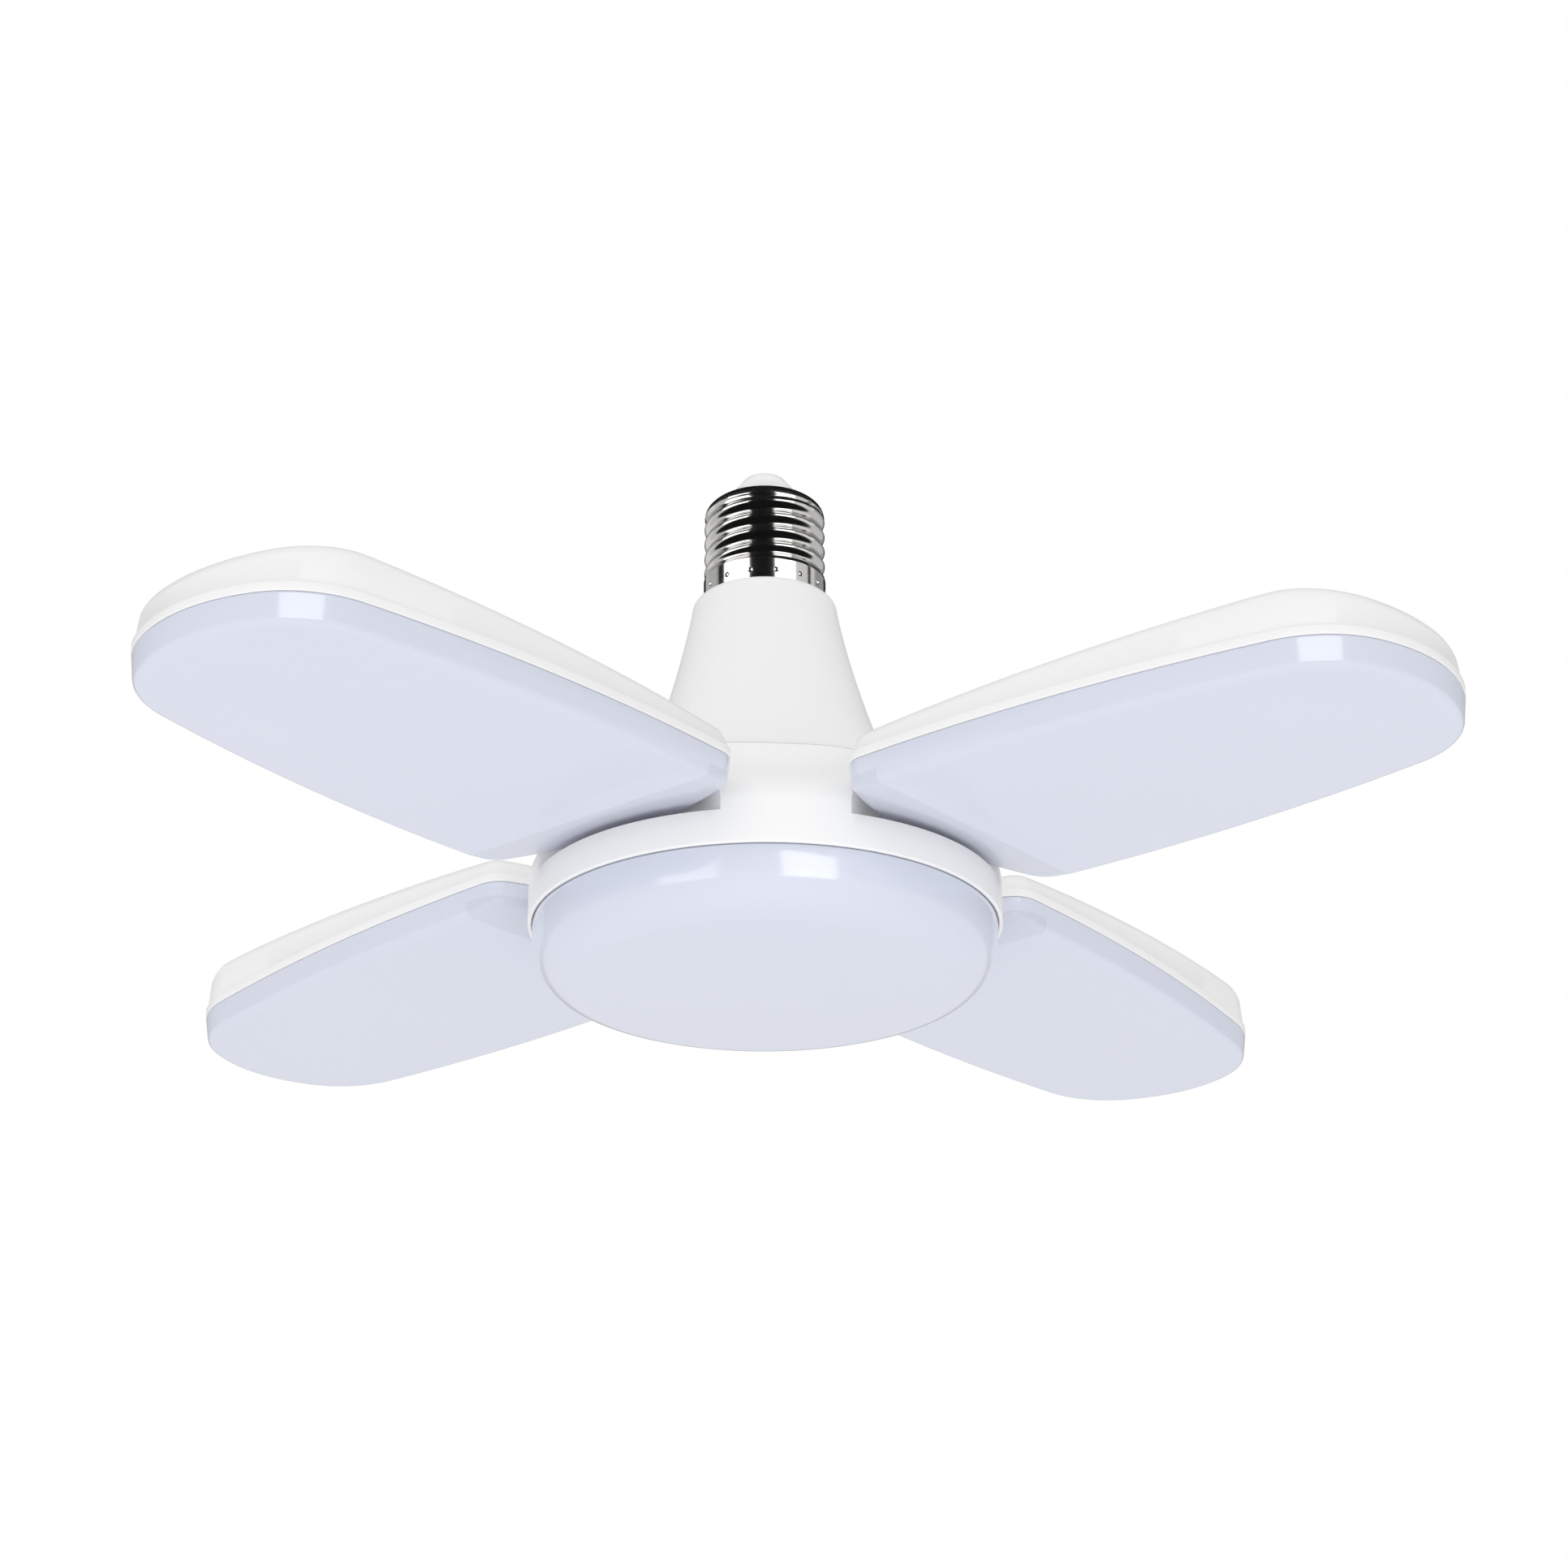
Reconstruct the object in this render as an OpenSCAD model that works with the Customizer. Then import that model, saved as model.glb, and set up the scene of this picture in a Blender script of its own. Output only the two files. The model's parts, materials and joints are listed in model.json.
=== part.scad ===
// Deformable garage light: a screw-cap lamp with a round centre light and four
// hinged light leaves. Millimetres, +Z up. The origin is the tip of the centre
// contact, so the whole lamp hangs below z = 0. Leaf 1 points along +X, leaf 2
// along +Y, leaf 3 along -X and leaf 4 along -Y. A leaf's own directions are u
// (out from the lamp's axis), w (across the leaf) and z.

/* [Screw cap] */
// Radius of the plain skirt of the metal shell
cap_radius = 13.3; // [12.5:0.05:14]
// Thickness of the metal shell
cap_wall = 0.4; // [0.3:0.05:0.8]
// Height of the plain skirt below the thread
skirt_height = 5; // [4:0.1:7]
// Distance between neighbouring thread crests
thread_pitch = 3.63; // [3:0.01:4.2]
// Number of thread turns
thread_turns = 4.4; // [3:0.1:6]
// Depth of the rolled thread
thread_depth = 0.85; // [0.4:0.05:1.1]
// Height of the rounded shoulder over the thread
shoulder_height = 3.6; // [2.5:0.1:5]
// Radius of the opening in the shell's top
shell_mouth_radius = 6.5; // [6.4:0.1:8]
// Height of the insulator above the shell
insulator_height = 6; // [3:0.1:7]
// Radius of the insulator where it leaves the shell
insulator_base_radius = 6.3; // [5.6:0.1:6.3]
// Radius of the insulator's flat top
insulator_top_radius = 4.5; // [4:0.1:5.5]
// Radius of the centre contact
contact_radius = 2.6; // [2:0.1:3.8]
// Height of the centre contact above the insulator
contact_height = 1; // [0.5:0.1:1.5]
// Diameter of the punch marks round the skirt
punch_diameter = 0.9; // [0.5:0.1:1.4]
// Number of punch marks round the skirt
punch_count = 15; // [6:1:24]

/* [Neck] */
// Height of the neck from the screw cap to the seam
neck_height = 44.5; // [38:0.2:56]
// Radius of the neck under its top shoulder
neck_top_radius = 15.4; // [14.8:0.1:17]
// Wall of the neck
neck_wall = 1.8; // [1.4:0.1:2.6]
// How strongly the neck's flare grows towards the seam
neck_flare = 1.22; // [1:0.01:1.8]
// Height of the round shoulder at the neck's top
neck_shoulder = 2.8; // [2:0.1:4]

/* [Lower housing] */
// Height of the lower housing from the seam to its rim
housing_height = 31.1; // [28:0.2:40]
// Half width of the rounded square section at the seam
seam_radius = 26.5; // [24:0.1:30]
// Squareness of the section at the seam, where 2 is a circle
seam_squareness = 3.1; // [2:0.1:4]
// Wall of the rim round the lens
rim_lip = 0.9; // [0.7:0.1:2]
// Outward slope of the housing's flare where it leaves the seam
seam_slope = 0.9; // [0.4:0.05:1.2]
// Height of the straight wall over the rim
rim_wall_height = 9; // [7:0.5:12]
// Wall of the lower housing
housing_wall = 1.5; // [1.4:0.1:2.2]
// Height of the ledge that runs under each leaf's inner end
ledge_height = 7; // [6:0.1:7.4]
// Thickness of the web that closes the housing's top
web_thickness = 1.8; // [1.4:0.1:3]
// Radius of the wire opening in the web
web_opening_radius = 9; // [7:0.5:11]

/* [Lens] */
// Radius of the centre lens at the rim
lens_radius = 48.6; // [47.8:0.1:48.9]
// Depth of the lens below the rim
lens_depth = 14.3; // [11:0.1:18]
// Height of the lens's upright side
lens_side_height = 4; // [2:0.1:6]
// Radius of the rounding between the lens's side and face
lens_edge_radius = 9; // [6:0.1:10]
// Wall of the lens
lens_wall = 1.4; // [1:0.1:2]
// Thickness of the lens's flange inside the rim
flange_thickness = 1.5; // [1.2:0.1:2]

/* [Leaf] */
// Distance from the lamp's axis to a leaf's tip
leaf_reach = 159.8; // [135:0.2:185]
// Half width of a leaf at its widest
leaf_half_width = 33.6; // [29:0.1:34.5]
// Distance that a leaf's inner end reaches in over the rim
leaf_overlap = 9.2; // [8.5:0.1:9.5]
// Radius of the curve of a leaf's inner end
inner_end_curve = 75; // [66:1:90]
// Radius of the shallow curve of a leaf's sides
side_curve = 400; // [320:5:600]
// Distance from a leaf's inner end to its widest place
widest_offset = 31.7; // [26:0.5:50]
// Radius of the curve of a leaf's tip
tip_curve = 38; // [34:1:60]
// Radius of a leaf's two outer corners
outer_corner = 21; // [16:0.5:26]
// Radius of a leaf's two inner corners
inner_corner = 6; // [3:0.5:9]
// Height of the parting plane of a leaf above the rim
leaf_rise = 14; // [13.8:0.1:15]
// Depth of a leaf's diffuser below its parting plane
diffuser_depth = 6; // [4.6:0.1:6.2]
// Rise of a diffuser's face towards its inner end
face_rise = 1.5; // [0.5:0.1:2.5]
// Distance from a leaf's inner end to the straight inner edge of its diffuser's face
face_margin = 15.2; // [13.5:0.1:18]
// Wall of a diffuser
diffuser_wall = 1.4; // [1:0.1:1.8]
// Height of a leaf's shell at its inner end
shell_inner_height = 6; // [5:0.1:6.6]
// Height of a leaf's shell at its tip
shell_tip_height = 12.4; // [9:0.1:13]
// Distance that a shell's high back ends before its tip
shell_taper = 9; // [6:0.5:30]
// Height of a shell's end wall at its tip
shell_end_height = 7; // [3:0.1:8]
// Height of the straight lip along a shell's edge
shell_lip = 1.8; // [1.2:0.1:2.4]
// Wall of a leaf's shell
shell_wall = 1.6; // [1.2:0.1:2]

/* [Hinge] */
// Distance from a leaf's inner end to its hinge's axis
hinge_inset = 2.7; // [2.3:0.1:3.7]
// Height of a hinge's axis above the parting plane
hinge_rise = 6.2; // [5.8:0.1:6.6]
// Radius of a hinge's knuckle and ears
knuckle_radius = 4; // [3.4:0.1:4.2]
// Width of the leaf's knuckle
knuckle_width = 8; // [6:0.5:10]
// Thickness of each ear of the housing
ear_thickness = 3; // [2:0.1:3.6]
// Radius of the hinge screw's shank
pin_radius = 1.5; // [1.25:0.05:2]
// Thickness of a friction washer
washer_thickness = 0.5; // [0.3:0.1:1]
// Droop of leaf 1 below level
leaf_1_droop = 0.5; // [0:0.1:6]
// Droop of leaf 2 below level
leaf_2_droop = 2.5; // [0:0.1:6]
// Droop of leaf 3 below level
leaf_3_droop = 3.1; // [0:0.1:6]
// Droop of leaf 4 below level
leaf_4_droop = 0; // [0:0.1:6]

/* [Light and driver] */
// Thickness of the aluminium circuit boards
board_thickness = 1; // [0.8:0.1:1.6]
// Width of one light-emitting chip
chip_width = 2.8; // [2:0.1:3.5]
// Length of one light-emitting chip
chip_length = 3.5; // [2.5:0.1:5]
// Height of one light-emitting chip
chip_height = 0.7; // [0.4:0.1:0.9]
// Distance between neighbouring chips along a leaf
chip_spacing = 11; // [8:0.5:14]
// Distance between neighbouring rows of chips on a leaf
row_spacing = 13; // [8:0.5:14]
// Thickness of the heat plate
heat_plate_thickness = 1.8; // [1.5:0.1:2]
// Width of the driver board
driver_width = 22; // [20:0.5:24]
// Height of the driver board
driver_height = 36; // [30:1:40]
// Thickness of the driver board
driver_thickness = 1.2; // [0.8:0.1:1.6]
// Radius of the leads
lead_radius = 0.8; // [0.5:0.1:0.9]

/* [Hidden] */

$fn = 64;
bite = 0.01;            // how far a cut runs past the face it opens
fit_gap = 0.15;         // clearance of a lid or spigot in its seat
turn_gap = 0.05;        // radial clearance of the hinge screw in the knuckle
pin_gap = 0.02;         // radial clearance of the hinge screw in the ears
side_gap = 0.2;         // clearance beside each friction washer
swing_gap = 0.5;        // clearance round what turns in the hinge
leaf_gap = 1.5;         // gap between a leaf's inner end and the housing
seg = 56;               // sides of the lofted housings
rim_radius = lens_radius + rim_lip;
leaf_inner_end = rim_radius - leaf_overlap;
side_centre_u = leaf_inner_end + widest_offset;
face_start = leaf_inner_end + face_margin;
hinge_u = leaf_inner_end + hinge_inset;
rim_lap = 0.04;         // how far the flare ends inside the rim's outside

// Heights, all measured from the tip of the centre contact
thread_height = thread_pitch * thread_turns;
shell_height = skirt_height + thread_height + shoulder_height;
contact_seat = 0.6;
foot_height = 1.4;
insulator_top_z = -contact_height;
shell_top_z = insulator_top_z - insulator_height;
skirt_z = shell_top_z - shell_height;
seam_z = skirt_z - neck_height;
rim_z = seam_z - housing_height;
parting_z = rim_z + leaf_rise;
face_z = parting_z - diffuser_depth;
hinge_z = parting_z + hinge_rise;

// Seat of the lens, the heat plate and the hub board, from the rim upwards
flange_z = rim_z + flange_thickness;
recess_radius = lens_radius + fit_gap;
spigot_height = 2.4;
spigot_wall = 1.1;
spigot_inset = 3.7;      // from the lens's outside to its spigot's
spigot_radius = lens_radius - spigot_inset;
ring_inner_radius = spigot_radius + fit_gap;
plate_radius = spigot_radius - spigot_wall - 0.3;
hub_board_z = flange_z + 2.5;
plate_z = hub_board_z + board_thickness;
plate_top_z = plate_z + heat_plate_thickness;
plate_screw_circle = plate_radius - 7.5;
hub_ring_radius = plate_screw_circle - 8;   // of the hub's outer ring of chips
boss_radius = 3.2;
small_screw_radius = 1.1;
small_head_radius = 2.2;
small_head_height = 1.1;

// Hinge sizes across the leaf
ear_inner = knuckle_width / 2 + washer_thickness + 2 * side_gap;
ear_outer = ear_inner + ear_thickness;
web_drop = knuckle_radius - 1.4;
head_height = 1.8;
head_radius = 2.75;
nut_height = 2.4;
nut_radius = 2.75;
slot_outer = ear_outer + nut_height + swing_gap;
slot_radius = knuckle_radius + swing_gap;
lead_out_w = slot_outer + lead_radius + 0.4;
lead_meet_w = lead_out_w + 1.6;
lead_in_w = lead_meet_w + 1.8;
lead_end_gap = 0.15;
lead_slot_w = lead_in_w + lead_radius + 0.4;

// Recess of the housing behind each leaf
swing_radius = norm([hinge_u - leaf_inner_end, hinge_rise]) + swing_gap;
recess_u = hinge_u - swing_radius;
recess_half_width = lead_out_w + lead_radius + 1;
recess_floor_z = parting_z - 1.5;
ledge_z = rim_z + ledge_height;

// Leaf outline: the centres of its arcs
inner_centre = [leaf_inner_end + inner_end_curve, 0];
tip_centre = [leaf_reach - tip_curve, 0];
side_centre = [side_centre_u, leaf_half_width - side_curve];
back_end = leaf_reach - shell_taper;
end_start = leaf_reach - outer_corner;
shell_slope = atan((shell_tip_height - shell_inner_height) / (leaf_reach - leaf_inner_end));
block_u = hinge_u + slot_radius + 2.5;
block_half_width = lead_slot_w + 1.6;
board_u = block_u + 3;
board_inset = shell_wall + 3.2;
leaf_board_z = parting_z + 0.6;
first_chip = 5;          // from a leaf board's inner edge to its first row of chips
last_chip = 10;          // least distance of the last row from the board's end
screw_places = [for (f = [0.12, 0.48, 0.84]) board_u + f * (leaf_reach - board_inset - board_u)];

// Driver sizes
driver_z = seam_z;
driver_top_z = driver_z + driver_height;
rail_depth = 1.6;
rail_wall = 1.4;
rail_height = 20;
fuse_height = 7.5;
neutral_u = driver_width / 2 - rail_depth - lead_radius - 0.5;
neutral_z = skirt_z + 2.2;
neck_screw_circle = seam_radius - 6;
neck_boss_radius = 3;
neck_boss_height = 14;

white = "#fbfbfb";
warm_white = "#efefef";
milky = "#d9dde9";
nickel = "#b9b6b2";

// ---- Plane geometry -------------------------------------------------------

function heading(v) = atan2(v.y, v.x);
function arc(c, r, from, to, n) = [for (i = [0:n]) let (a = from + (to - from) * i / n) c + r * [cos(a), sin(a)]];

// Where two circles cross; side is 1 or -1
function meet(p, rp, q, rq, side) =
    let (d = norm(q - p), along = (q - p) / d, a = (rp * rp - rq * rq + d * d) / (2 * d))
    p + a * along + side * sqrt(rp * rp - a * a) * [-along.y, along.x];

// Half of a leaf's outline, drawn inwards by inset, from its inner end to its tip
function half_outline(inset) =
    let (
        r_in = max(inner_corner - inset, 0.6),
        r_out = outer_corner - inset,
        ring_in = inner_end_curve - inset,
        ring_side = side_curve - inset,
        ring_tip = tip_curve - inset,
        c_in = meet(inner_centre, ring_in - r_in, side_centre, ring_side - r_in, -1),
        c_out = meet(tip_centre, ring_tip - r_out, side_centre, ring_side - r_out, 1)
    )
    concat(
        arc(inner_centre, ring_in, 180, heading(c_in - inner_centre), 7),
        arc(c_in, r_in, heading(c_in - inner_centre), heading(c_in - side_centre), 3),
        arc(side_centre, ring_side, heading(c_in - side_centre), heading(c_out - side_centre), 6),
        arc(c_out, r_out, heading(c_out - side_centre), heading(c_out - tip_centre), 8),
        arc(tip_centre, ring_tip, heading(c_out - tip_centre), 0, 3)
    );

// A leaf's outline, between two distances from the lamp's axis
module leaf_outline(inset, start = 0, end = leaf_reach) {
    half = half_outline(inset);
    intersection() {
        polygon(concat(half, [for (i = [len(half) - 2:-1:1]) [half[i].x, -half[i].y]]));
        translate([start, -leaf_half_width]) square([end - start, 2 * leaf_half_width]);
    }
}

// A thin slice of a leaf's outline, at z over the parting plane
module leaf_slice(inset, z, start = 0)
    translate([0, 0, parting_z + z]) linear_extrude(bite) leaf_outline(inset, start);

// The same, tilted as the shell's back is, at z over the parting plane at the inner end
module back_slice(inset, z, end)
    translate([leaf_inner_end, 0, parting_z + z - bite])
        rotate([0, -shell_slope, 0])
            translate([-leaf_inner_end, 0, 0]) linear_extrude(bite) leaf_outline(inset, 0, end);

// ---- Lofted housings ------------------------------------------------------

// Distance to a rounded square's edge in direction a; its corners face the leaves
function section_radius(r, squareness, a) =
    r / pow(pow(abs(cos(a + 45)), squareness) + pow(abs(sin(a + 45)), squareness), 1 / squareness);

// A solid through rings of [z, radius, squareness], from the top one down
module loft(rings) {
    last = len(rings) - 1;
    points = [for (ring = rings, i = [0:seg - 1])
        let (a = 360 * i / seg, r = section_radius(ring[1], ring[2], a)) [r * cos(a), r * sin(a), ring[0]]];
    sides = [for (j = [0:last - 1], i = [0:seg - 1])
        let (k = (i + 1) % seg, p = j * seg + i, q = j * seg + k, s = p + seg, t = q + seg)
        each [[p, q, t], [p, t, s]]];
    top = [for (i = [seg - 1:-1:0]) i];
    bottom = [for (i = [0:seg - 1]) last * seg + i];
    polyhedron(points, concat(sides, [top, bottom]), convexity = 4);
}

// Radius and squareness of the neck's outside at t, from 0 at its top to 1 at the seam
function neck_radius(t) = neck_top_radius + (seam_radius - neck_top_radius) * pow(t, neck_flare);
function neck_squareness(t) = 2 + (seam_squareness - 2) * t * t;
neck_steps = 14;
function neck_rings(inset) = [for (i = [0:neck_steps]) let (t = i / neck_steps)
    [skirt_z - t * neck_height, neck_radius(t) - inset, neck_squareness(t)]];

// The lower housing's flare: it leaves the seam at a slope and meets the rim's
// wall upright; t runs from 0 at the seam to 1 where that wall starts
flare_height = housing_height - rim_wall_height;
function flare_radius(t) = seam_radius
    + (rim_radius - seam_radius) * (3 * t * t - 2 * pow(t, 3))
    + seam_slope * flare_height * (pow(t, 3) - 2 * t * t + t);
function flare_squareness(t) = seam_squareness + (2 - seam_squareness) * (3 * t * t - 2 * pow(t, 3));
flare_steps = 12;
function flare_rings(inset) = [for (i = [0:flare_steps]) let (t = i / flare_steps)
    [seam_z - t * flare_height, flare_radius(t) - inset, flare_squareness(t)]];

// ---- Where things go ------------------------------------------------------

function droop(k) = [leaf_1_droop, leaf_2_droop, leaf_3_droop, leaf_4_droop][k - 1];

module towards_leaf(k) rotate([0, 0, 90 * (k - 1)]) children();

// Puts a level leaf on its hinge at its own droop
module on_leaf(k)
    towards_leaf(k)
        translate([hinge_u, 0, hinge_z]) rotate([0, droop(k), 0]) translate([-hinge_u, 0, -hinge_z]) children();

// A cylinder along the hinge's axis, from one place across the leaf to another
module across(r, from, to)
    translate([hinge_u, from, hinge_z]) rotate([-90, 0, 0]) cylinder(r = r, h = to - from);

// A round lead through a list of points
module lead(points, r = lead_radius) {
    for (i = [0:len(points) - 2])
        let (a = points[i], b = points[i + 1], v = b - a)
        translate(a) rotate([0, acos(v.z / norm(v)), atan2(v.y, v.x)]) cylinder(r = r, h = norm(v), $fn = 24);
    for (i = [1:1:len(points) - 2])
        translate(points[i]) sphere(r = r, $fn = 24);
}

// ---- Screw cap ------------------------------------------------------------

// The rolled thread: rows of points up its outside, then down its inside. Its ends
// fade into the skirt's wall and the shoulder's wall.
thread_rows = ceil(thread_turns * 8);
thread_sides = 40;
end_lap = 0.5;
function thread_wave(turn) = 0.5 + 0.5 * cos(360 * turn);
function thread_fade(f) = min(1, 8 * f, 8 * (1 - f));
function thread_point(j, i, inset) =
    let (
        a = 360 * i / thread_sides,
        f = j / thread_rows,
        groove = thread_depth * thread_fade(f) * (1 - thread_wave(f * thread_turns - a / 360)),
        r = cap_radius - thread_lap - groove - inset
    )
    [r * cos(a), r * sin(a), skirt_z + skirt_height - end_lap + f * (thread_height + 2 * end_lap)];
thread_lap = cap_wall / 4;

module rolled_thread() {
    outside = [for (j = [0:thread_rows], i = [0:thread_sides - 1]) thread_point(j, i, 0)];
    inside = [for (j = [thread_rows:-1:0], i = [0:thread_sides - 1]) thread_point(j, i, cap_wall)];
    loops = 2 * (thread_rows + 1);
    faces = [for (j = [0:loops - 1], i = [0:thread_sides - 1])
        let (k = (i + 1) % thread_sides, p = j * thread_sides, q = ((j + 1) % loops) * thread_sides)
        each [[p + i, q + k, p + k], [p + i, q + i, q + k]]];
    polyhedron(concat(outside, inside), faces, convexity = 8);
}

// The curve of the shoulder from the thread to the mouth, inset for its inside
shoulder_radius = cap_radius - 2 * thread_lap;
function shoulder_curve(inset) = [for (i = [0:8]) let (a = 90 * i / 8)
    [shell_mouth_radius + (shoulder_radius - shell_mouth_radius - inset) * cos(a),
     shell_top_z - shoulder_height + (shoulder_height - inset) * sin(a)]];

module screw_cap() color(nickel) {
    rolled_thread();
    rotate_extrude()
        polygon(concat(shoulder_curve(0), [for (i = [8:-1:0]) shoulder_curve(cap_wall)[i]]));
    difference() {
        translate([0, 0, skirt_z]) cylinder(r = cap_radius, h = skirt_height);
        translate([0, 0, skirt_z - bite]) cylinder(r = cap_radius - cap_wall, h = skirt_height + 2 * bite);
        for (i = [0:punch_count - 1])
            rotate([0, 0, 360 * i / punch_count])
                translate([cap_radius - cap_wall / 2, 0, skirt_z + punch_diameter])
                    rotate([0, 90, 0]) cylinder(d = punch_diameter, h = cap_wall, $fn = 16);
    }
}

module cap_insulator() color(white)
    difference() {
        union() {
            translate([0, 0, shell_top_z]) rotate_extrude()
                polygon([[0, 0], [insulator_base_radius, 0],
                         [insulator_top_radius + 0.5, insulator_height - 0.8],
                         [insulator_top_radius, insulator_height - 0.2],
                         [insulator_top_radius - 0.5, insulator_height], [0, insulator_height]]);
            // the foot that the shell's shoulder is rolled over
            translate([0, 0, shell_top_z - cap_wall - fit_gap - foot_height])
                cylinder(r = shell_mouth_radius + 1.5, h = foot_height);
            translate([0, 0, shell_top_z - cap_wall - foot_height])
                cylinder(r = insulator_base_radius, h = cap_wall + foot_height + bite);
        }
        translate([0, 0, shell_top_z - cap_wall - foot_height - 1])
            cylinder(r = lead_radius + fit_gap, h = insulator_height + cap_wall + foot_height + 2);
        translate([0, 0, insulator_top_z - contact_seat]) cylinder(r = contact_radius + fit_gap, h = 2);
    }

module centre_contact() color("#8f8f8f")
    translate([0, 0, insulator_top_z - contact_seat]) rotate_extrude()
        polygon([[0, 0], [contact_radius, 0], [contact_radius, contact_seat + contact_height * 0.4],
                 [contact_radius * 0.7, contact_seat + contact_height], [0, contact_seat + contact_height]]);

module live_lead() color("#c8372d")
    lead([[0, 0, driver_top_z + fuse_height], [0, 0, insulator_top_z - contact_seat]]);

// Runs from the driver board's top up to the inside of the shell's skirt
module neutral_lead() color("#2b4f9e")
    on_driver()
        lead([[neutral_u, 0, driver_top_z], [neutral_u, 0, neutral_z], [cap_radius - cap_wall, 0, neutral_z]]);

// ---- Neck and driver ------------------------------------------------------

module neck_shoulder_ring()
    translate([0, 0, skirt_z - neck_shoulder]) rotate_extrude()
        polygon(concat([[0, 0], [neck_top_radius, 0]],
            [for (i = [0:8]) let (a = 90 * i / 8)
                [cap_radius + (neck_top_radius - cap_radius) * cos(a), neck_shoulder * sin(a)]],
            [[0, neck_shoulder]]));

module neck_housing() color(warm_white) {
    collar = cap_radius - cap_wall - fit_gap;
    difference() {
        union() {
            intersection() {
                loft(neck_rings(0));
                union() {
                    neck_shoulder_ring();
                    translate([0, 0, seam_z - 1])
                        cylinder(r = 2 * seam_radius, h = neck_height - neck_shoulder + 1 + bite);
                }
            }
            // the collar that the screw cap is crimped on
            translate([0, 0, skirt_z - 3]) cylinder(r = collar, h = 3 + skirt_height - 1.4);
        }
        difference() {
            intersection() {
                loft([for (ring = neck_rings(neck_wall)) [ring[0] - bite, ring[1], ring[2]]]);
                translate([0, 0, seam_z - 1])
                    cylinder(r = 2 * seam_radius, h = neck_height + 1 - neck_wall - 0.4);
            }
            neck_bosses();
            driver_rails();
        }
        translate([0, 0, skirt_z - 4]) cylinder(r = collar - neck_wall, h = skirt_height + 6);
        // notch for the neutral lead
        on_driver()
            translate([neutral_u, -lead_radius - fit_gap, neutral_z - lead_radius - fit_gap])
                cube([cap_radius, 2 * (lead_radius + fit_gap), skirt_height]);
        for (k = [1:4])
            towards_leaf(k)
                translate([neck_screw_circle, 0, seam_z - bite])
                    cylinder(r = small_screw_radius, h = neck_boss_height - 2, $fn = 24);
    }
}

module neck_bosses()
    for (k = [1:4])
        towards_leaf(k)
            translate([neck_screw_circle, 0, seam_z - 1])
                cylinder(r = neck_boss_radius, h = neck_boss_height + 1, $fn = 32);

// Grooved ribs that hold the driver board's two edges
module driver_rails() {
    groove = driver_thickness / 2 + fit_gap;
    cheek = groove + rail_wall;
    difference() {
        for (turn = [0, 180])
            rotate([0, 0, 45 + turn])
                translate([driver_width / 2 - rail_depth, -cheek, driver_top_z - rail_height])
                    cube([seam_radius, 2 * cheek, rail_height]);
        on_driver()
            translate([-driver_width / 2 - fit_gap, -groove, driver_z])
                cube([driver_width + 2 * fit_gap, 2 * groove, driver_height + 1]);
    }
}

// The driver board stands across the lamp, turned to the gap between two leaves
module on_driver() rotate([0, 0, 45]) children();

module driver_board() color("#2f6b3c")
    on_driver()
        translate([-driver_width / 2, -driver_thickness / 2, driver_z])
            cube([driver_width, driver_thickness, driver_height]);

module bulk_capacitor() color("#1d2540")
    on_driver()
        translate([-4.5, driver_thickness / 2 + 5, driver_z + 15]) cylinder(r = 5, h = 16);

module transformer() color("#d8b23c")
    on_driver()
        translate([-6, -driver_thickness / 2 - 9, driver_z + 4]) cube([12, 9, 12]);

module rectifier() color("#202020")
    on_driver()
        translate([-3, -driver_thickness / 2 - 2.6, driver_z + 22]) cube([6, 2.6, 5]);

module driver_chip() color("#262626")
    on_driver()
        translate([-2.5, driver_thickness / 2, driver_z + 6]) cube([5, 1.6, 4]);

// Sits in the live line between the contact and the driver board
module fuse_resistor() color("#b98a5a") {
    translate([0, 0, driver_top_z + 1.5]) cylinder(r = 1.5, h = fuse_height - 1.5, $fn = 32);
    translate([0, 0, driver_top_z]) cylinder(r = 0.4, h = 1.5, $fn = 24);
}

// ---- Lower housing --------------------------------------------------------

// The scallop that a leaf's inner end swings in, with the deeper recess of its
// hinge, grown by grow for the wall inside it
module leaf_pocket(grow) {
    translate([inner_centre.x, 0, ledge_z - grow])
        cylinder(r = inner_end_curve + leaf_gap + grow, h = housing_height, $fn = 128);
    translate([recess_u - grow, -recess_half_width - grow, recess_floor_z - grow])
        cube([rim_radius, 2 * (recess_half_width + grow), housing_height]);
}

module hinge_ear(side)
    difference() {
        union() {
            across(knuckle_radius, side > 0 ? ear_inner : -ear_outer, side > 0 ? ear_outer : -ear_inner);
            translate([recess_u - 1, side > 0 ? ear_inner : -ear_outer, hinge_z - web_drop])
                cube([hinge_u - recess_u + 1, ear_thickness, knuckle_radius + web_drop]);
        }
        across(pin_radius + pin_gap, -ear_outer - 1, ear_outer + 1);
    }

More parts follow.
